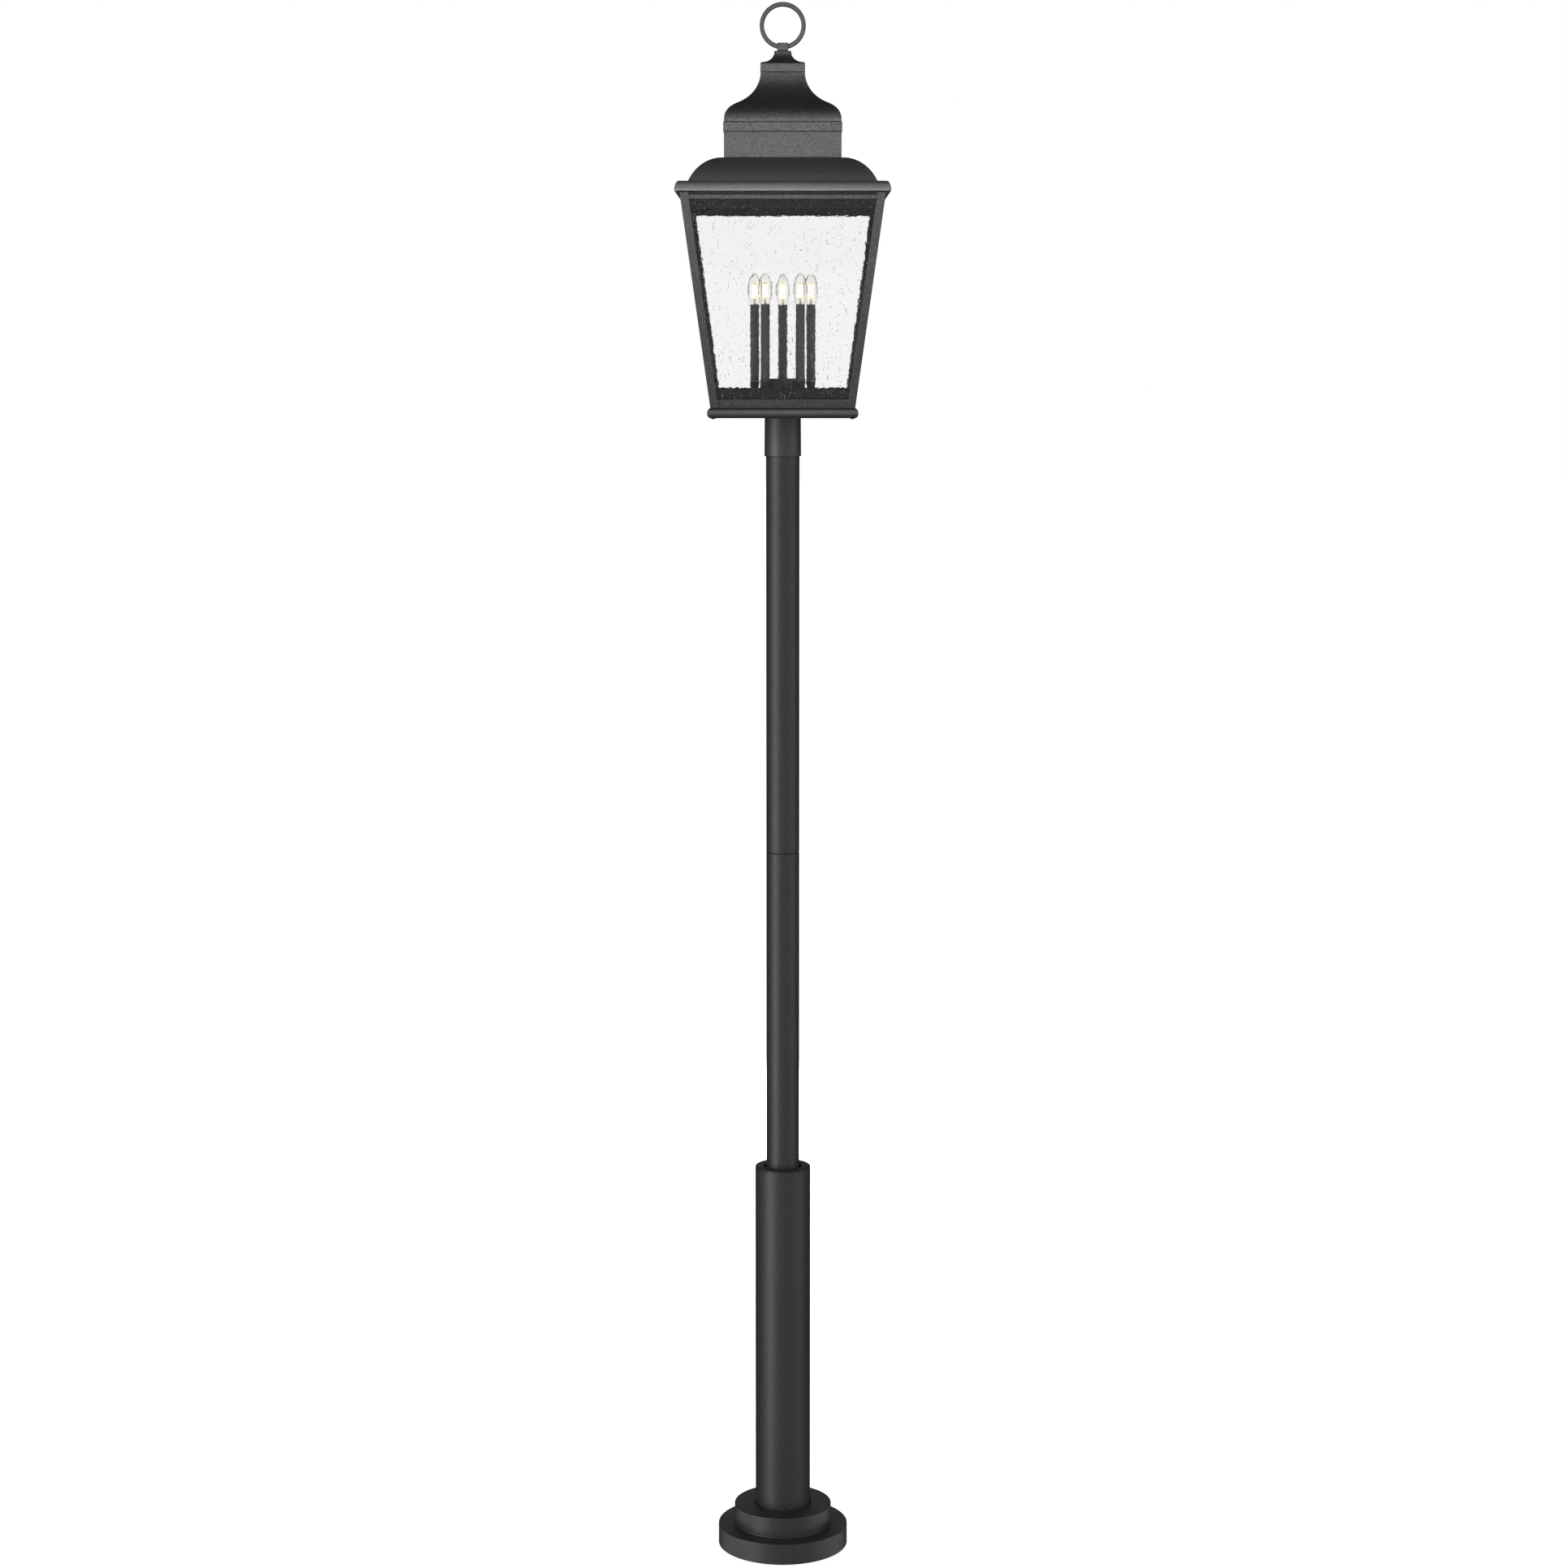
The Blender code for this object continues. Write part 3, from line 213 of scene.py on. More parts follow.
def black_screw():
    """Blackened screw steel."""
    material, tree, shader = new_material("black_screw")
    marks = noise(tree, object_space(tree), 500.0, 3.0)
    color = ramp(tree, marks, [(0.3, grey(0.05)), (0.7, grey(0.11))])
    tree.links.new(color, shader.inputs["Base Color"])
    shader.inputs["Metallic"].default_value = 0.6
    tree.links.new(spread(tree, marks, 0.3, 0.7, 0.3, 0.45), shader.inputs["Roughness"])
    return material


# Lower than real glass, to keep its mirror of the studio faint in front of the dark frames
GLASS_IOR = 1.28
WAVE_HEIGHT = 0.00052
DRAWN_HEIGHT = 0.00003


def seeded_glass():
    """Clear rolled glass with a broken, gentle wave in its faces."""
    material, tree, shader = new_material("seeded_glass")
    shader.inputs["Base Color"].default_value = (0.955, 0.955, 0.955, 1.0)
    shader.inputs["Transmission Weight"].default_value = 1.0
    shader.inputs["Roughness"].default_value = 0.0
    shader.inputs["IOR"].default_value = GLASS_IOR
    space = object_space(tree)
    wave = noise(tree, space, 60.0, 3.0, 0.42)
    streaks = node(tree, "ShaderNodeMapping", Scale=(1.0, 1.0, 0.16))
    tree.links.new(space, streaks.inputs["Vector"])
    drawn = noise(tree, streaks.outputs["Vector"], 210.0, 2.0)
    waves = bump(tree, wave, WAVE_HEIGHT)
    tree.links.new(bump(tree, drawn, DRAWN_HEIGHT, 1.0, waves), shader.inputs["Normal"])
    return material


def seed_bubble():
    """The gas bubbles in the panes, with grey painted into their rims as shade where they bend the
    light away.
    """
    material, tree, shader = new_material("seed_bubble")
    shader.inputs["Transmission Weight"].default_value = 1.0
    shader.inputs["IOR"].default_value = 1.0 / GLASS_IOR
    shader.inputs["Roughness"].default_value = 0.05
    rim = tree.nodes.new("ShaderNodeLayerWeight")
    rim.inputs["Blend"].default_value = 0.4
    shade = tree.nodes.new("ShaderNodeMath")
    shade.operation = "MULTIPLY"
    tree.links.new(noise(tree, object_space(tree), 300.0, 1.0), shade.inputs[0])
    tree.links.new(rim.outputs["Facing"], shade.inputs[1])
    # Painted shade: grey towards the rims, varied by noise
    tone = ramp(tree, shade.outputs[0], [(0.0, grey(0.98)), (0.25, grey(0.92)), (0.6, grey(0.80))])
    tree.links.new(tone, shader.inputs["Base Color"])
    return material


def painted_glint_seed():
    """Gas bubbles with painted highlights: a pale colour stands in for their glints, and shows white
    in front of dark metal.
    """
    material, tree, shader = new_material("painted_glint_seed")
    patches = noise(tree, object_space(tree), 260.0, 1.0)
    color = ramp(tree, patches, [(0.35, grey(0.6)), (0.65, grey(0.98))])
    tree.links.new(color, shader.inputs["Base Color"])
    shader.inputs["Transmission Weight"].default_value = 0.55
    shader.inputs["IOR"].default_value = GLASS_IOR
    shader.inputs["Roughness"].default_value = 0.25
    return material


def bulb_glass():
    """Thin clear blown glass, with shade painted grey along its edges and a faint warm glow from the
    filaments painted towards its middle.
    """
    material, tree, shader = new_material("bulb_glass")
    shader.inputs["Transmission Weight"].default_value = 1.0
    shader.inputs["Roughness"].default_value = 0.0
    shader.inputs["IOR"].default_value = 1.48
    rim = tree.nodes.new("ShaderNodeLayerWeight")
    rim.inputs["Blend"].default_value = 0.25
    # Painted shade grey towards the edges, painted warm glow towards the middle
    stops = [(0.0, (1.0, 0.99, 0.965)), (0.55, (0.985, 0.97, 0.93)), (0.92, (0.62, 0.60, 0.56))]
    tree.links.new(ramp(tree, rim.outputs["Facing"], stops), shader.inputs["Base Color"])
    draw = noise(tree, object_space(tree), 60.0, 2.0)
    tree.links.new(bump(tree, draw, 0.0002, 0.5), shader.inputs["Normal"])
    return material


def stem_glass():
    """The pressed glass stem, with the warm light of the filaments above it painted into its colour.
    """
    material, tree, shader = new_material("stem_glass")
    flow = noise(tree, object_space(tree), 420.0, 3.0)
    # Painted light: the warm colour stands in for the filaments' glow
    color = ramp(tree, flow, [(0.3, (0.86, 0.60, 0.28)), (0.7, (0.97, 0.86, 0.64))])
    tree.links.new(color, shader.inputs["Base Color"])
    shader.inputs["Transmission Weight"].default_value = 0.75
    tree.links.new(spread(tree, flow, 0.3, 0.7, 0.1, 0.3), shader.inputs["Roughness"])
    return material


def filament_glow(bottom_z, top_z):
    """Phosphor-coated filament, white hot in its middle and yellow at its ends."""
    material, tree, shader = new_material("filament_glow")
    space = object_space(tree)
    split = tree.nodes.new("ShaderNodeSeparateXYZ")
    tree.links.new(space, split.inputs["Vector"])
    along = spread(tree, split.outputs["Z"], bottom_z, top_z, 0.0, 1.0)
    yellow, white = (1.0, 0.72, 0.16), (1.0, 0.93, 0.74)
    stops = [(0.0, yellow), (0.16, white), (0.84, white), (1.0, yellow)]
    color = ramp(tree, along, stops)
    tree.links.new(color, shader.inputs["Base Color"])
    tree.links.new(color, shader.inputs["Emission Color"])
    tree.links.new(bump(tree, noise(tree, space, 1800.0, 2.0), 0.0002, 0.5), shader.inputs["Normal"])
    shader.inputs["Emission Strength"].default_value = 1.7
    return material


def brass():
    material, tree, shader = new_material("lamp_brass")
    wear = noise(tree, object_space(tree), 240.0, 4.0)
    color = ramp(tree, wear, [(0.3, (0.52, 0.34, 0.14)), (0.7, (0.78, 0.57, 0.27))])
    tree.links.new(color, shader.inputs["Base Color"])
    shader.inputs["Metallic"].default_value = 1.0
    tree.links.new(spread(tree, wear, 0.3, 0.7, 0.22, 0.4), shader.inputs["Roughness"])
    return material


def phenolic():
    material, tree, shader = new_material("phenolic")
    flow = noise(tree, object_space(tree), 120.0, 4.0)
    color = ramp(tree, flow, [(0.3, (0.03, 0.026, 0.022)), (0.7, (0.055, 0.047, 0.04))])
    tree.links.new(color, shader.inputs["Base Color"])
    tree.links.new(spread(tree, flow, 0.3, 0.7, 0.35, 0.5), shader.inputs["Roughness"])
    return material


# The same coat in lighter and darker copies, painted to stand in for the light and shade that each
# part gets: tone, roughness, shine and grit
LANTERN_COAT = powder_coat("lantern_coat", 0.020, 0.43, 0.62)
PAN_COAT = powder_coat("pan_coat", 0.026, 0.52, 1.2, 0.7)
POST_COAT = powder_coat("post_coat", 0.033, grit=0.45)
# Painted light: a lighter copy of the coat for the more brightly lit fitter
FITTER_LIT_COAT = powder_coat("fitter_lit_coat", 0.050, 0.46, 0.62, 0.35)
MOULDING_COAT = powder_coat("moulding_coat", 0.022, 0.43, 0.66, 0.5)
CANDLE_COAT = powder_coat("candle_coat", 0.016, 0.36, 0.75, 0.5)
# Painted shade: a near-black copy of the coat for faces inside the lantern
INNER_SHADE_COAT = powder_coat("inner_shade_coat", 0.008, 0.6, 0.12)
CLUSTER_COAT = powder_coat("cluster_coat", 0.020, 0.50, 0.4)
# Painted highlight: a lighter, shinier copy of the coat for the eave
EAVE_HIGHLIGHT_COAT = powder_coat("eave_highlight_coat", 0.052, 0.40, 1.2, 0.6)
# Painted shadow: a dark copy of the coat for the strip under the eave
EAVE_SHADOW_COAT = powder_coat("eave_shadow_coat", 0.016, 0.50, 0.22)
STEEL = zinc_steel()
SCREW_STEEL = black_screw()
GLASS = seeded_glass()
BUBBLE = seed_bubble()
PAINTED_GLINT_BUBBLE = painted_glint_seed()
BULB_GLASS = bulb_glass()
STEM_GLASS = stem_glass()
BULB_FOOT_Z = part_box("bulb_1")[0].z
FILAMENT_START = 0.048
FILAMENT_LENGTH = 0.031
GLOW_FOOT_Z = BULB_FOOT_Z + FILAMENT_START
GLOW = filament_glow(GLOW_FOOT_Z, GLOW_FOOT_Z + FILAMENT_LENGTH)
BRASS = brass()
PHENOLIC = phenolic()


# Pieces made from the CAD nodes' own outlines

FLAT_ANGLE = math.radians(0.5)
WELD_DISTANCE = 1e-6

# What the linked lights shine on
LANTERN_METAL = bpy.data.collections.new("lantern_metal")
MOULDING_METAL = bpy.data.collections.new("moulding_metal")
BASE_METAL = bpy.data.collections.new("base_metal")


def welded(node_name):
    """A node's mesh with its loose faces joined."""
    mesh = bmesh.new()
    mesh.from_mesh(NODES[node_name].data)
    bmesh.ops.remove_doubles(mesh, verts=mesh.verts, dist=WELD_DISTANCE)
    return mesh


def flattened(node_name):
    """A node's welded mesh with its flat faces made whole again."""
    mesh = welded(node_name)
    bmesh.ops.dissolve_limit(mesh, angle_limit=FLAT_ANGLE, verts=mesh.verts, edges=mesh.edges)
    return mesh


def finish_piece(name, mesh, material, body, replaced=()):
    """A visible piece that rides on a body and may stand in for CAD nodes."""
    data = bpy.data.meshes.new(name)
    mesh.to_mesh(data)
    mesh.free()
    data.materials.append(material)
    piece = bpy.data.objects.new(name, data)
    bpy.context.scene.collection.objects.link(piece)
    data.shade_smooth()
    if material in (LANTERN_COAT, MOULDING_COAT, PAN_COAT, EAVE_HIGHLIGHT_COAT):
        LANTERN_METAL.objects.link(piece)
    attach(piece, body)
    if replaced:
        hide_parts(*replaced)
    return piece


def look_of(node_name, mesh, material):
    """The visible piece that stands in for one node."""
    body = NODES[node_name]["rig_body"]
    return finish_piece(node_name + "_look", mesh, material, body, [node_name])


def round_edges(piece, width, segments=3, angle=30.0):
    """Rounded edges, wherever two faces meet at more than the angle."""
    bevel = piece.modifiers.new("Edges", "BEVEL")
    bevel.width = width
    bevel.segments = segments
    bevel.limit_method = "ANGLE"
    bevel.angle_limit = math.radians(angle)
    bevel.harden_normals = False
    weighted = piece.modifiers.new("Normals", "WEIGHTED_NORMAL")
    weighted.keep_sharp = True
    return piece


INWARD = -0.2


def coat_faces(piece, coat, picks):
    """Another coat on the faces that picks(centre, normal) chooses."""
    piece.data.materials.append(coat)
    index = len(piece.data.materials) - 1
    for polygon in piece.data.polygons:
        if picks(polygon.center, polygon.normal):
            polygon.material_index = index


def turned_inward(centre, normal):
    """True for faces turned towards the lantern's axis."""
    outward = centre.x * normal.x + centre.y * normal.y
    return outward < INWARD * math.hypot(centre.x, centre.y)


SOLID_ANGLE = 22.0


def softened(node_name, material, width, segments=3):
    """The same solid as the node, with rounded edges."""
    piece = look_of(node_name, flattened(node_name), material)
    return round_edges(piece, width, segments, SOLID_ANGLE)


ON_PLANE = 2e-5
ON_AXIS = 1e-6


def outline(node_name, turn=None):
    """The node's turned outline, as (radius, height) points in order, and its axis position."""
    mesh = welded(node_name)
    low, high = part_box(node_name)
    axis = (low + high) / 2.0
    if turn is not None:
        bmesh.ops.rotate(mesh, cent=axis, matrix=turn, verts=mesh.verts)

    def on_plane(vert):
        return abs(vert.co.y - axis.y) < ON_PLANE and vert.co.x - axis.x > -ON_PLANE

    edges = [edge for edge in mesh.edges if all(on_plane(vert) for vert in edge.verts)]
    links = {}
    for edge in edges:
        first, second = edge.verts
        links.setdefault(first.index, []).append(second.index)
        links.setdefault(second.index, []).append(first.index)
    mesh.verts.ensure_lookup_table()
    ends = [index for index, others in links.items() if len(others) == 1]
    start = ends[0] if ends else min(links)
    order = [start]
    while True:
        onward = [index for index in links[order[-1]] if index not in order[-2:]]
        if not onward or onward[0] == start:
            break
        order.append(onward[0])
    points = [(max(mesh.verts[i].co.x - axis.x, 0.0), mesh.verts[i].co.z) for i in order]
    closed = not ends
    mesh.free()
    return points, closed, axis


def turned_mesh(points, closed, segments, centre=(0.0, 0.0)):
    """A profile turned about the vertical line through centre."""
    mesh = bmesh.new()
    rings = []
    for radius, height in points:
        if radius < ON_AXIS:
            rings.append([mesh.verts.new((centre[0], centre[1], height))])
            continue
        ring = []
        for step in range(segments):
            angle = 2.0 * math.pi * step / segments
            x = centre[0] + radius * math.cos(angle)
            y = centre[1] + radius * math.sin(angle)
            ring.append(mesh.verts.new((x, y, height)))
        rings.append(ring)
    pairs = list(zip(rings, rings[1:]))
    if closed:
        pairs.append((rings[-1], rings[0]))
    for first, second in pairs:
        for step in range(segments):
            following = (step + 1) % segments
            loop = [first[step % len(first)], first[following % len(first)]]
            loop += [second[following % len(second)], second[step % len(second)]]
            corners = []
            for vert in loop:
                if vert not in corners:
                    corners.append(vert)
            if len(corners) > 2:
                mesh.faces.new(corners)
    bmesh.ops.recalc_face_normals(mesh, faces=mesh.faces[:])
    return mesh


def turned_again(node_name, material, segments, width, turn=None):
    """The node turned again in finer steps, with rounded edges."""
    points, closed, axis = outline(node_name, turn)
    mesh = turned_mesh(points, closed, segments, (axis.x, axis.y))
    if turn is not None:
        bmesh.ops.rotate(mesh, cent=axis, matrix=turn.inverted(), verts=mesh.verts)
    return round_edges(look_of(node_name, mesh, material), width)


# Widths of the rounded edges
FINE_EDGE = 0.0004
SMALL_EDGE = 0.0005
EDGE = 0.0006

# Steps round the turned pieces
POST_STEPS = 96
SLEEVE_STEPS = 128
BASE_STEPS = 192


def make_post():
    for name in ("lower_post", "upper_post"):
        turned_again(name, POST_COAT, POST_STEPS, FINE_EDGE)
    turned_again("lower_sleeve", POST_COAT, SLEEVE_STEPS, EDGE)
    turned_again("sleeve_cap", POST_COAT, SLEEVE_STEPS, FINE_EDGE)
    BASE_METAL.objects.link(turned_again("base_cover", POST_COAT, BASE_STEPS, EDGE))
    turned_again("fitter", FITTER_LIT_COAT, SLEEVE_STEPS, FINE_EDGE)


NECK_EDGE = 0.0007
BAND_EDGE = 0.0010
BELL_EDGE = 0.0012
CAP_EDGE = 0.0013


def make_roof():
    softened("eave_moulding", EAVE_HIGHLIGHT_COAT, BAND_EDGE)
    softened("pan_roof", PAN_COAT, FINE_EDGE)
    softened("neck_box", LANTERN_COAT, NECK_EDGE)
    softened("collar_band", LANTERN_COAT, BAND_EDGE)
    softened("bell_roof", LANTERN_COAT, BELL_EDGE)
    softened("roof_cap", LANTERN_COAT, CAP_EDGE)
    softened("finial_holder", LANTERN_COAT, SMALL_EDGE)
    upright = Matrix.Rotation(math.radians(90.0), 3, "X")
    turned_again("finial_ring", LANTERN_COAT, SLEEVE_STEPS, SMALL_EDGE, upright)


PANE_LOW, PANE_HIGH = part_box("glass_pane_front")
PANE_THICKNESS = 0.003
RECESS_HEIGHT = 0.0058
RECESS_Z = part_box("top_frame")[1].z - RECESS_HEIGHT


def pane_out(height):
    """Distance from the lantern's axis to the outer face of a pane."""
    foot, head = PANE_THICKNESS - PANE_HIGH.y, -PANE_LOW.y
    return foot + (head - foot) * (height - PANE_LOW.z) / (PANE_HIGH.z - PANE_LOW.z)


def within_panes(centre, normal):
    """True for the parts of a rail that are seen through the glass."""
    return turned_inward(centre, normal) or max(abs(centre.x), abs(centre.y)) < pane_out(centre.z)


def under_eave(centre, normal):
    """True for the recessed strip at the top of the cage, which lies in the eave's shade."""
    return centre.z > RECESS_Z and not turned_inward(centre, normal)


def make_cage():
    MOULDING_METAL.objects.link(softened("bottom_moulding", MOULDING_COAT, EDGE))
    # Painted shade: the frames' faces seen through the glass get the near-black inner coat
    coat_faces(softened("bottom_frame", LANTERN_COAT, SMALL_EDGE), INNER_SHADE_COAT, within_panes)
    top_frame = softened("top_frame", LANTERN_COAT, SMALL_EDGE)
    # Painted shade on the top frame's faces seen through the glass
    coat_faces(top_frame, INNER_SHADE_COAT, within_panes)
    # Painted shadow of the eave on the recessed strip at the top of the cage
    coat_faces(top_frame, EAVE_SHADOW_COAT, under_eave)
    # Painted shade on the inward faces of the corner posts
    for corner in ("front_left", "front_right", "back_right", "back_left"):
        coat_faces(softened("corner_post_" + corner, LANTERN_COAT, EDGE), INNER_SHADE_COAT, turned_inward)
    softened("crossbar", LANTERN_COAT, FINE_EDGE)


# Panes

def make_pane(side):
    """One flat-faced pane, whose waves are in its material."""
    name = "glass_pane_" + side
    pane = look_of(name, flattened(name), GLASS)
    for polygon in pane.data.polygons:
        polygon.use_smooth = False


# Bubbles in each pane: how many, how many of those are long, and their smallest and largest radius
SEEDS = (260, 6, (0.0004, 0.0011))
# Pale seeds whose colour is a painted highlight for the bubbles' glints
PAINTED_GLINT_SEEDS = (760, 28, (0.0006, 0.0012))
SEED_INSET = 0.006


def small_ball():
    """Corners and faces of one bubble of radius 1."""
    mesh = bmesh.new()
    bmesh.ops.create_icosphere(mesh, subdivisions=1, radius=1.0)
    corners = [vert.co.copy() for vert in mesh.verts]
    faces = [[vert.index for vert in face.verts] for face in mesh.faces]
    mesh.free()
    return corners, faces


def make_bubbles(name, side, seeds, material, rng):
    """Seeds scattered through a pane, each a little taller than wide, and a few drawn out long."""
    count, long_count, radii = seeds
    corners, faces = small_ball()
    turn = Matrix.Rotation(math.radians(SIDES[side]), 3, "Z")
    mesh = bmesh.new()
    for index in range(count):
        height = PANE_LOW.z + SEED_INSET
        height += rng.random() * (PANE_HIGH.z - PANE_LOW.z - 2.0 * SEED_INSET)
        depth = pane_out(height) - PANE_THICKNESS / 2.0
        half = depth - SEED_INSET
        radius = radii[0] + (radii[1] - radii[0]) * rng.random() ** 3
        stretch = 1.1 + 0.6 * rng.random()
        if index < long_count:
            radius, stretch = radii[0], 8.0 + 8.0 * rng.random()
        centre = Vector(((2.0 * rng.random() - 1.0) * half, -depth, height))
        verts = []
        for corner in corners:
            offset = Vector((corner.x * radius, corner.y * radius, corner.z * radius * stretch))
            verts.append(mesh.verts.new(turn @ (centre + offset)))
        for face in faces:
            mesh.faces.new([verts[i] for i in face])
    finish_piece(name + side, mesh, material, "lantern")


def make_glazing():
    rng = random.Random(7)
    for side in SIDES:
        make_pane(side)
        make_bubbles("seeds_", side, SEEDS, BUBBLE, rng)
        make_bubbles("painted_glints_", side, PAINTED_GLINT_SEEDS, PAINTED_GLINT_BUBBLE, rng)


# Candles and lamps

TUBE_EDGE = 0.0003
HOLDER_STEPS = 48
LAMP_STEPS = 64


def make_candles():
    softened("candle_cluster", CLUSTER_COAT, TUBE_EDGE, 2)
    turned_again("cluster_disc", CLUSTER_COAT, POST_STEPS, FINE_EDGE)
    for number in LAMP_NUMBERS:
        turned_again(f"candle_sleeve_{number}", CANDLE_COAT, LAMP_STEPS, TUBE_EDGE)
        turned_again(f"lamp_holder_{number}", PHENOLIC, HOLDER_STEPS, FINE_EDGE)


# Heights in a bulb are above its foot
ENVELOPE_WALL = 0.0007
BASE_TOP_Z = 0.0245
FILAMENT_COUNT = 4
FILAMENT_RADIUS = 0.0011
FILAMENT_CIRCLE = 0.0050
FILAMENT_LEAN = 0.0006
FIRST_FILAMENT = 45.0
FILAMENT_TURN = 17.0
WIRE_RADIUS = 0.00035
WIRE_RISE = 0.003
STEM_TOP = 0.044
STEM_STEPS = 24
SCREW_BASE_STEPS = 40


def bulb_envelope(number):
    """The blown glass: the bulb's own outline above its base, with a thin wall inside."""
    name = f"bulb_{number}"
    points, _, axis = outline(name)
    low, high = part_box(name)
    if points[0][1] < points[-1][1]:
        points.reverse()
    outer = [(radius, height) for radius, height in points if height > low.z + BASE_TOP_Z - 0.001]
    inner = []
    for radius, height in reversed(outer):
        drop = ENVELOPE_WALL * (height - low.z) / (high.z - low.z)
        inner.append((max(radius - ENVELOPE_WALL, 0.0), height - drop))
    mesh = turned_mesh(outer + inner, False, LAMP_STEPS, (axis.x, axis.y))
    piece = finish_piece(name + "_envelope", mesh, BULB_GLASS, f"lamp_{number}", [name])
    subdivide = piece.modifiers.new("Round", "SUBSURF")
    subdivide.levels = 1
    subdivide.render_levels = 1
    return axis, low.z


def rod_between(mesh, start, end, radius, segments=10):
    """A round rod with closed ends."""
    start, end = Vector(start), Vector(end)
    direction = end - start
    made = bmesh.ops.create_cone(
        mesh, cap_ends=True, segments=segments, radius1=radius, radius2=radius, depth=direction.length)
    rotation = direction.to_track_quat("Z", "Y").to_matrix()
    bmesh.ops.rotate(mesh, cent=(0.0, 0.0, 0.0), matrix=rotation, verts=made["verts"])
    bmesh.ops.translate(mesh, vec=(start + end) / 2.0, verts=made["verts"])


def bulb_inside(number, axis, foot):
    """Filaments, the wires between them, the stem and the screw base."""
    body = f"lamp_{number}"
    glow = bmesh.new()
    wires = bmesh.new()
    for index in range(FILAMENT_COUNT):
        degrees = FIRST_FILAMENT + 360.0 * index / FILAMENT_COUNT + FILAMENT_TURN * number
        angle = math.radians(degrees)
        bottom_radius, top_radius = FILAMENT_CIRCLE + FILAMENT_LEAN, FILAMENT_CIRCLE - FILAMENT_LEAN
        x, y = math.cos(angle), math.sin(angle)
        bottom = (axis.x + x * bottom_radius, axis.y + y * bottom_radius, foot + FILAMENT_START)
        top_z = foot + FILAMENT_START + FILAMENT_LENGTH
        top = (axis.x + x * top_radius, axis.y + y * top_radius, top_z)
        rod_between(glow, bottom, top, FILAMENT_RADIUS)
        hub_top = (axis.x, axis.y, top_z + WIRE_RISE)
        hub_bottom = (axis.x, axis.y, foot + STEM_TOP)
        rod_between(wires, top, hub_top, WIRE_RADIUS, 6)
        rod_between(wires, bottom, hub_bottom, WIRE_RADIUS, 6)
    finish_piece(f"bulb_{number}_filaments", glow, GLOW, body)
    finish_piece(f"bulb_{number}_wires", wires, BRASS, body)
    stem = [(0.0, STEM_TOP), (0.0016, STEM_TOP - 0.0006), (0.0024, STEM_TOP - 0.005), (0.0030, 0.031),
            (0.0052, BASE_TOP_Z), (0.0, BASE_TOP_Z)]
    stem = [(radius, foot + height) for radius, height in stem]
    mesh = turned_mesh(stem, False, STEM_STEPS, (axis.x, axis.y))
    finish_piece(f"bulb_{number}_stem", mesh, STEM_GLASS, body)
    mesh = turned_mesh(screw_base(foot), False, SCREW_BASE_STEPS, (axis.x, axis.y))
    finish_piece(f"bulb_{number}_base", mesh, BRASS, body)


THREAD_TURNS = 5
THREAD_FOOT = 0.0055
THREAD_PITCH = 0.0034
THREAD_RADIUS = 0.0060
THREAD_DEPTH = 0.0004


def screw_base(foot):
    """The threaded cap of the bulb, with rounded threads and a contact at its foot."""
    top = foot + BASE_TOP_Z - 0.0006
    points = [(0.0, top), (0.0062, top)]
    for step in range(THREAD_TURNS * 4):
        height = BASE_TOP_Z - 0.002 - THREAD_PITCH * step / 4.0
        if height < THREAD_FOOT:
            break
        radius = THREAD_RADIUS + THREAD_DEPTH * math.cos(math.pi * step / 2.0)
        points.append((radius, foot + height))
    points += [(0.0050, foot + 0.0038), (0.0028, foot + 0.0014), (0.0026, foot + 0.0003), (0.0, foot)]
    return points


def make_bulbs():
    for number in LAMP_NUMBERS:
        axis, foot = bulb_envelope(number)
        bulb_inside(number, axis, foot)


# Fasteners

CORNER_SCREW_INSET = 0.0134
CORNER_SCREW_RADIUS = 0.0056
CORNER_SCREW_RISE = 0.0022
CORNER_SCREW_STEPS = 32
SOCKET_DEPTH = 0.0011
SOCKET_PROUD = 0.002
SLEEVE_SOCKET = 0.0015
FITTER_SOCKET = 0.0013


def screw_look(node_name, material, socket_radius):
    """The node's screw head with a hexagon socket cut into its outer face."""
    low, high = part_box(node_name)
    piece = look_of(node_name, welded(node_name), material)
    centre = (low + high) / 2.0
    outward = Vector((centre.x, centre.y, 0.0)).normalized()
    reach = max((vert.co.x * outward.x + vert.co.y * outward.y) for vert in piece.data.vertices)
    tip = Vector((outward.x * reach, outward.y * reach, centre.z))
    cutter = bmesh.new()
    rod_between(cutter, tip - outward * SOCKET_DEPTH, tip + outward * SOCKET_PROUD, socket_radius, 6)
    data = bpy.data.meshes.new(node_name + "_socket")
    cutter.to_mesh(data)
    cutter.free()
    tool = bpy.data.objects.new(node_name + "_socket", data)
    bpy.context.scene.collection.objects.link(tool)
    modifier = piece.modifiers.new("Socket", "BOOLEAN")
    modifier.operation = "DIFFERENCE"
    modifier.solver = "EXACT"
    modifier.object = tool
    depsgraph = bpy.context.evaluated_depsgraph_get()
    carved = bpy.data.meshes.new_from_object(piece.evaluated_get(depsgraph))
    piece.modifiers.clear()
    piece.data = carved
    bpy.data.objects.remove(tool)
    for polygon in carved.polygons:
        polygon.use_smooth = False


def make_fasteners():
    for number in range(1, 5):
        screw_look(f"sleeve_screw_{number}", SCREW_STEEL, SLEEVE_SOCKET)
    for number in range(1, 4):
        screw_look(f"fitter_screw_{number}", SCREW_STEEL, FITTER_SOCKET)


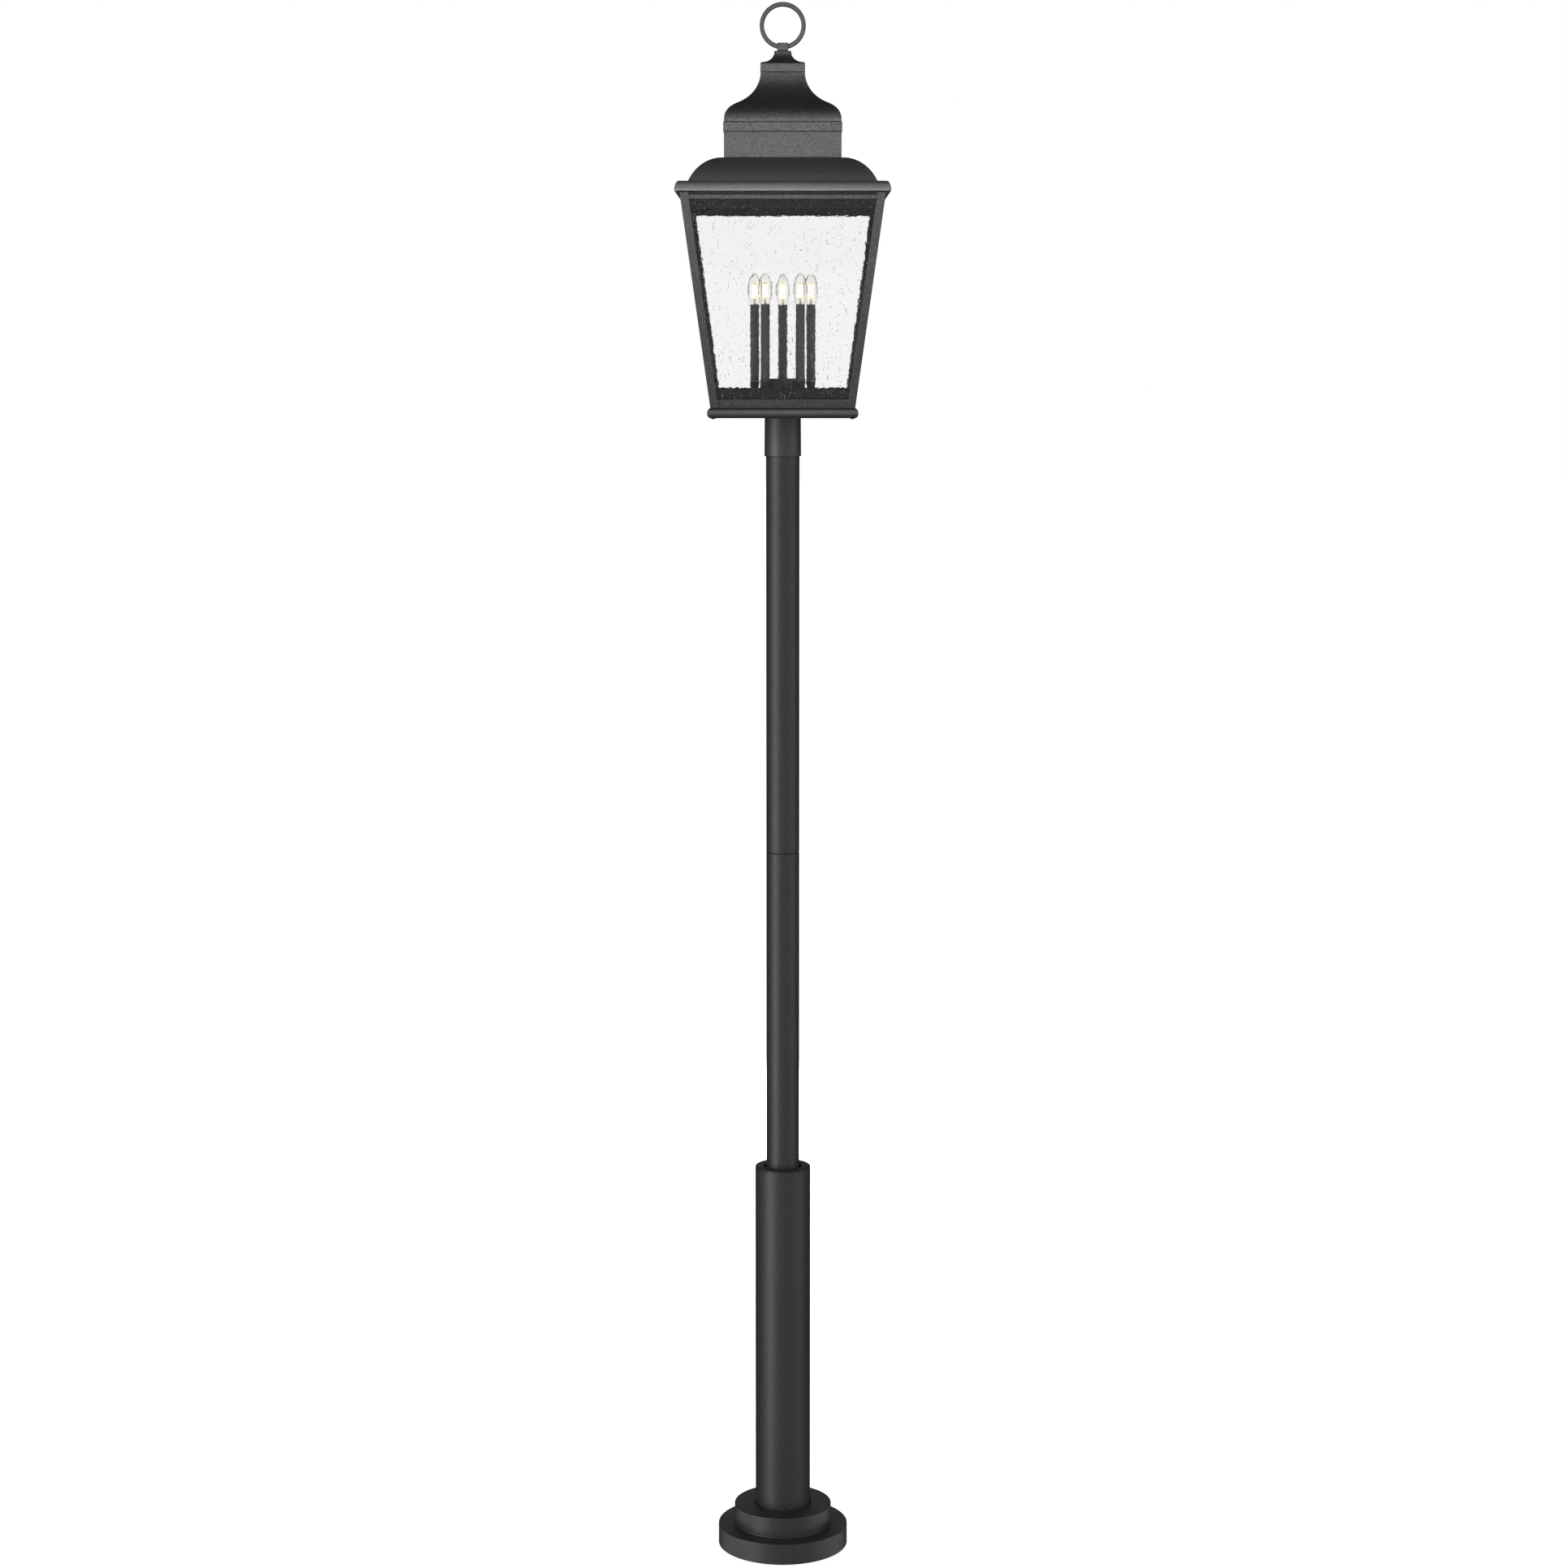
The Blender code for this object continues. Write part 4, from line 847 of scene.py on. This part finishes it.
def make_corner_screws():
    """A low domed screw head under each corner of the bottom moulding."""
    low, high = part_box("bottom_moulding")
    out = high.x - CORNER_SCREW_INSET
    for x_sign in (-1, 1):
        for y_sign in (-1, 1):
            dome = [(0.0, low.z - CORNER_SCREW_RISE)]
            for step in range(1, 7):
                angle = math.radians(15.0 * step)
                height = low.z - CORNER_SCREW_RISE * math.cos(angle)
                dome.append((CORNER_SCREW_RADIUS * math.sin(angle), height))
            dome.append((0.0, low.z))
            mesh = turned_mesh(dome, False, CORNER_SCREW_STEPS, (out * x_sign, out * y_sign))
            finish_piece("corner_screw", mesh, LANTERN_COAT, "lantern")


PLATE_EDGE = 0.0008
ROD_STEPS = 40


def make_hardware():
    for name in ("hub_nut", "rod_nut", "coupling_nut"):
        softened(name, STEEL, SMALL_EDGE, 2)
    for name in ("tie_rod", "hub_pipe"):
        turned_again(name, STEEL, ROD_STEPS, FINE_EDGE)
    softened("bottom_pan", LANTERN_COAT, FINE_EDGE)
    softened("anchor_plate", STEEL, PLATE_EDGE, 2)
    softened("post_socket", STEEL, EDGE, 2)
    turned_again("post_coupler", STEEL, LAMP_STEPS, SMALL_EDGE)


# Stage

FLOOR_HALF = 60.0
# Distance from the post over which the floor's glow goes from its painted shadow tone to white
SHADE_START = 0.3
SHADE_END = 3.0
SPOT_ANGLE = 14.0
SPOT_RADIUS = 0.45
STUDIO_FRONT = 0.85
STUDIO_BACK = 0.02
# Brightness of the studio from straight down to straight up, with a pale band level with the object
STUDIO_LEVELS = (
    (0.0, 0.02), (0.25, 0.2), (0.38, 0.64), (0.45, 1.0), (0.68, 1.0), (0.85, 0.08), (1.0, 0.02))


def add_floor():
    """A white floor that shows only the soft shadow round the object's foot, which is partly the real
    shadow it takes and partly painted darker into its glow.
    """
    mesh = bmesh.new()
    bmesh.ops.create_grid(mesh, x_segments=1, y_segments=1, size=FLOOR_HALF)
    data = bpy.data.meshes.new("floor")
    mesh.to_mesh(data)
    mesh.free()
    material, tree, shader = new_material("studio_floor")
    shader.inputs["Base Color"].default_value = (0.8, 0.8, 0.8, 1.0)
    shader.inputs["Roughness"].default_value = 1.0
    shader.inputs["Specular IOR Level"].default_value = 0.0
    reach = tree.nodes.new("ShaderNodeVectorMath")
    reach.operation = "LENGTH"
    tree.links.new(object_space(tree), reach.inputs[0])
    away = spread(tree, reach.outputs["Value"], SHADE_START, SHADE_END, 0.0, 1.0)
    # Painted shadow: the floor glows a little darker near the post
    glow = ramp(tree, away, [(0.0, grey(0.86)), (1.0, grey(1.0))])
    tree.links.new(glow, shader.inputs["Emission Color"])
    shader.inputs["Emission Strength"].default_value = 1.0
    data.materials.append(material)
    floor = bpy.data.objects.new("floor", data)
    bpy.context.scene.collection.objects.link(floor)
    floor.visible_diffuse = False
    floor.visible_glossy = False
    floor.visible_shadow = False


def add_world():
    """White behind the object. What it reflects is a pale studio in front and dark behind."""
    world = bpy.data.worlds.new("studio")
    bpy.context.scene.world = world
    world.use_nodes = True
    tree = world.node_tree
    background = tree.nodes["Background"]
    split = tree.nodes.new("ShaderNodeSeparateXYZ")
    tree.links.new(tree.nodes.new("ShaderNodeTexCoord").outputs["Generated"], split.inputs["Vector"])
    height = spread(tree, split.outputs["Z"], -1.0, 1.0, 0.0, 1.0)
    band = ramp(tree, height, [(place, grey(level)) for place, level in STUDIO_LEVELS])
    ahead = spread(tree, split.outputs["Y"], -0.2, 0.45, STUDIO_FRONT, STUDIO_BACK)
    product = tree.nodes.new("ShaderNodeMath")
    product.operation = "MULTIPLY"
    tree.links.new(band, product.inputs[0])
    tree.links.new(ahead, product.inputs[1])
    paths = tree.nodes.new("ShaderNodeLightPath")
    scattered = tree.nodes.new("ShaderNodeMath")
    scattered.operation = "ADD"
    tree.links.new(paths.outputs["Diffuse Depth"], scattered.inputs[0])
    tree.links.new(paths.outputs["Glossy Depth"], scattered.inputs[1])
    seen = tree.nodes.new("ShaderNodeMath")
    seen.operation = "LESS_THAN"
    seen.inputs[1].default_value = 0.5
    tree.links.new(scattered.outputs[0], seen.inputs[0])
    mix = tree.nodes.new("ShaderNodeMix")
    mix.data_type = "RGBA"
    tree.links.new(seen.outputs[0], mix.inputs["Factor"])
    tree.links.new(product.outputs[0], mix.inputs["A"])
    mix.inputs["B"].default_value = (1.0, 1.0, 1.0, 1.0)
    tree.links.new(mix.outputs["Result"], background.inputs["Color"])


def aim(obj, target):
    direction = Vector(target) - obj.location
    obj.rotation_euler = direction.to_track_quat("-Z", "Y").to_euler()


def place_light(data, name, location, target, diffuse, glossy):
    light = bpy.data.objects.new(name, data)
    light.location = location
    bpy.context.scene.collection.objects.link(light)
    aim(light, target)
    light.visible_camera = False
    light.visible_transmission = False
    light.visible_diffuse = diffuse
    light.visible_glossy = glossy
    return light


def soft_box(name, location, target, size, power, diffuse=True, glossy=True):
    data = bpy.data.lights.new(name, "AREA")
    data.shape = "RECTANGLE"
    data.size, data.size_y = size
    data.energy = power
    return place_light(data, name, location, target, diffuse, glossy)


def spot(name, location, height, power, receivers):
    """A soft spot that shines on the receivers only, aimed at a height on the axis."""
    data = bpy.data.lights.new(name, "SPOT")
    data.energy = power
    data.spot_size = math.radians(SPOT_ANGLE)
    data.spot_blend = 1.0
    data.shadow_soft_size = SPOT_RADIUS
    light = place_light(data, name, location, (0.0, 0.0, height), True, True)
    light.light_linking.receiver_collection = receivers


def around(degrees, distance, height):
    """A place round the post, with the angle from the front towards +X."""
    angle = math.radians(degrees)
    return (distance * math.sin(angle), -distance * math.cos(angle), height)


def add_lights():
    """Tall boxes at the sides for the post's highlights, and lights for single parts."""
    left, right, back = (0.0, 0.0, 1.5), (0.0, 0.0, 1.4), (0.0, 0.0, 1.8)
    soft_box("left_box", around(-53.0, 3.2, 1.5), left, (1.2, 5.4), 92.0, diffuse=False)
    soft_box("right_box", around(72.0, 3.6, 1.4), right, (1.0, 5.4), 17.0, diffuse=False)
    soft_box("back_fill", around(180.0, 5.0, 2.2), back, (3.0, 3.0), 350.0, glossy=False)
    for side in (-1, 1):
        place = around(100.0 * side, 3.0, -1.1)
        low_box = soft_box("base_box", place, (0.0, 0.0, 0.0), (3.0, 0.8), 11.0, diffuse=False)
        low_box.light_linking.receiver_collection = BASE_METAL
    spot("lantern_front", (-0.3, -6.4, 3.0), 3.30, 640.0, LANTERN_METAL)
    spot("lantern_high", (-0.3, -5.0, 6.5), 3.15, 90.0, LANTERN_METAL)
    spot("moulding_high", (-0.3, -5.0, 6.5), 2.70, 320.0, MOULDING_METAL)


add_camera()
make_post()
make_roof()
make_cage()
make_glazing()
make_candles()
make_bulbs()
make_fasteners()
make_corner_screws()
make_hardware()
add_floor()
add_world()
add_lights()

bpy.context.scene.view_settings.view_transform = "Standard"
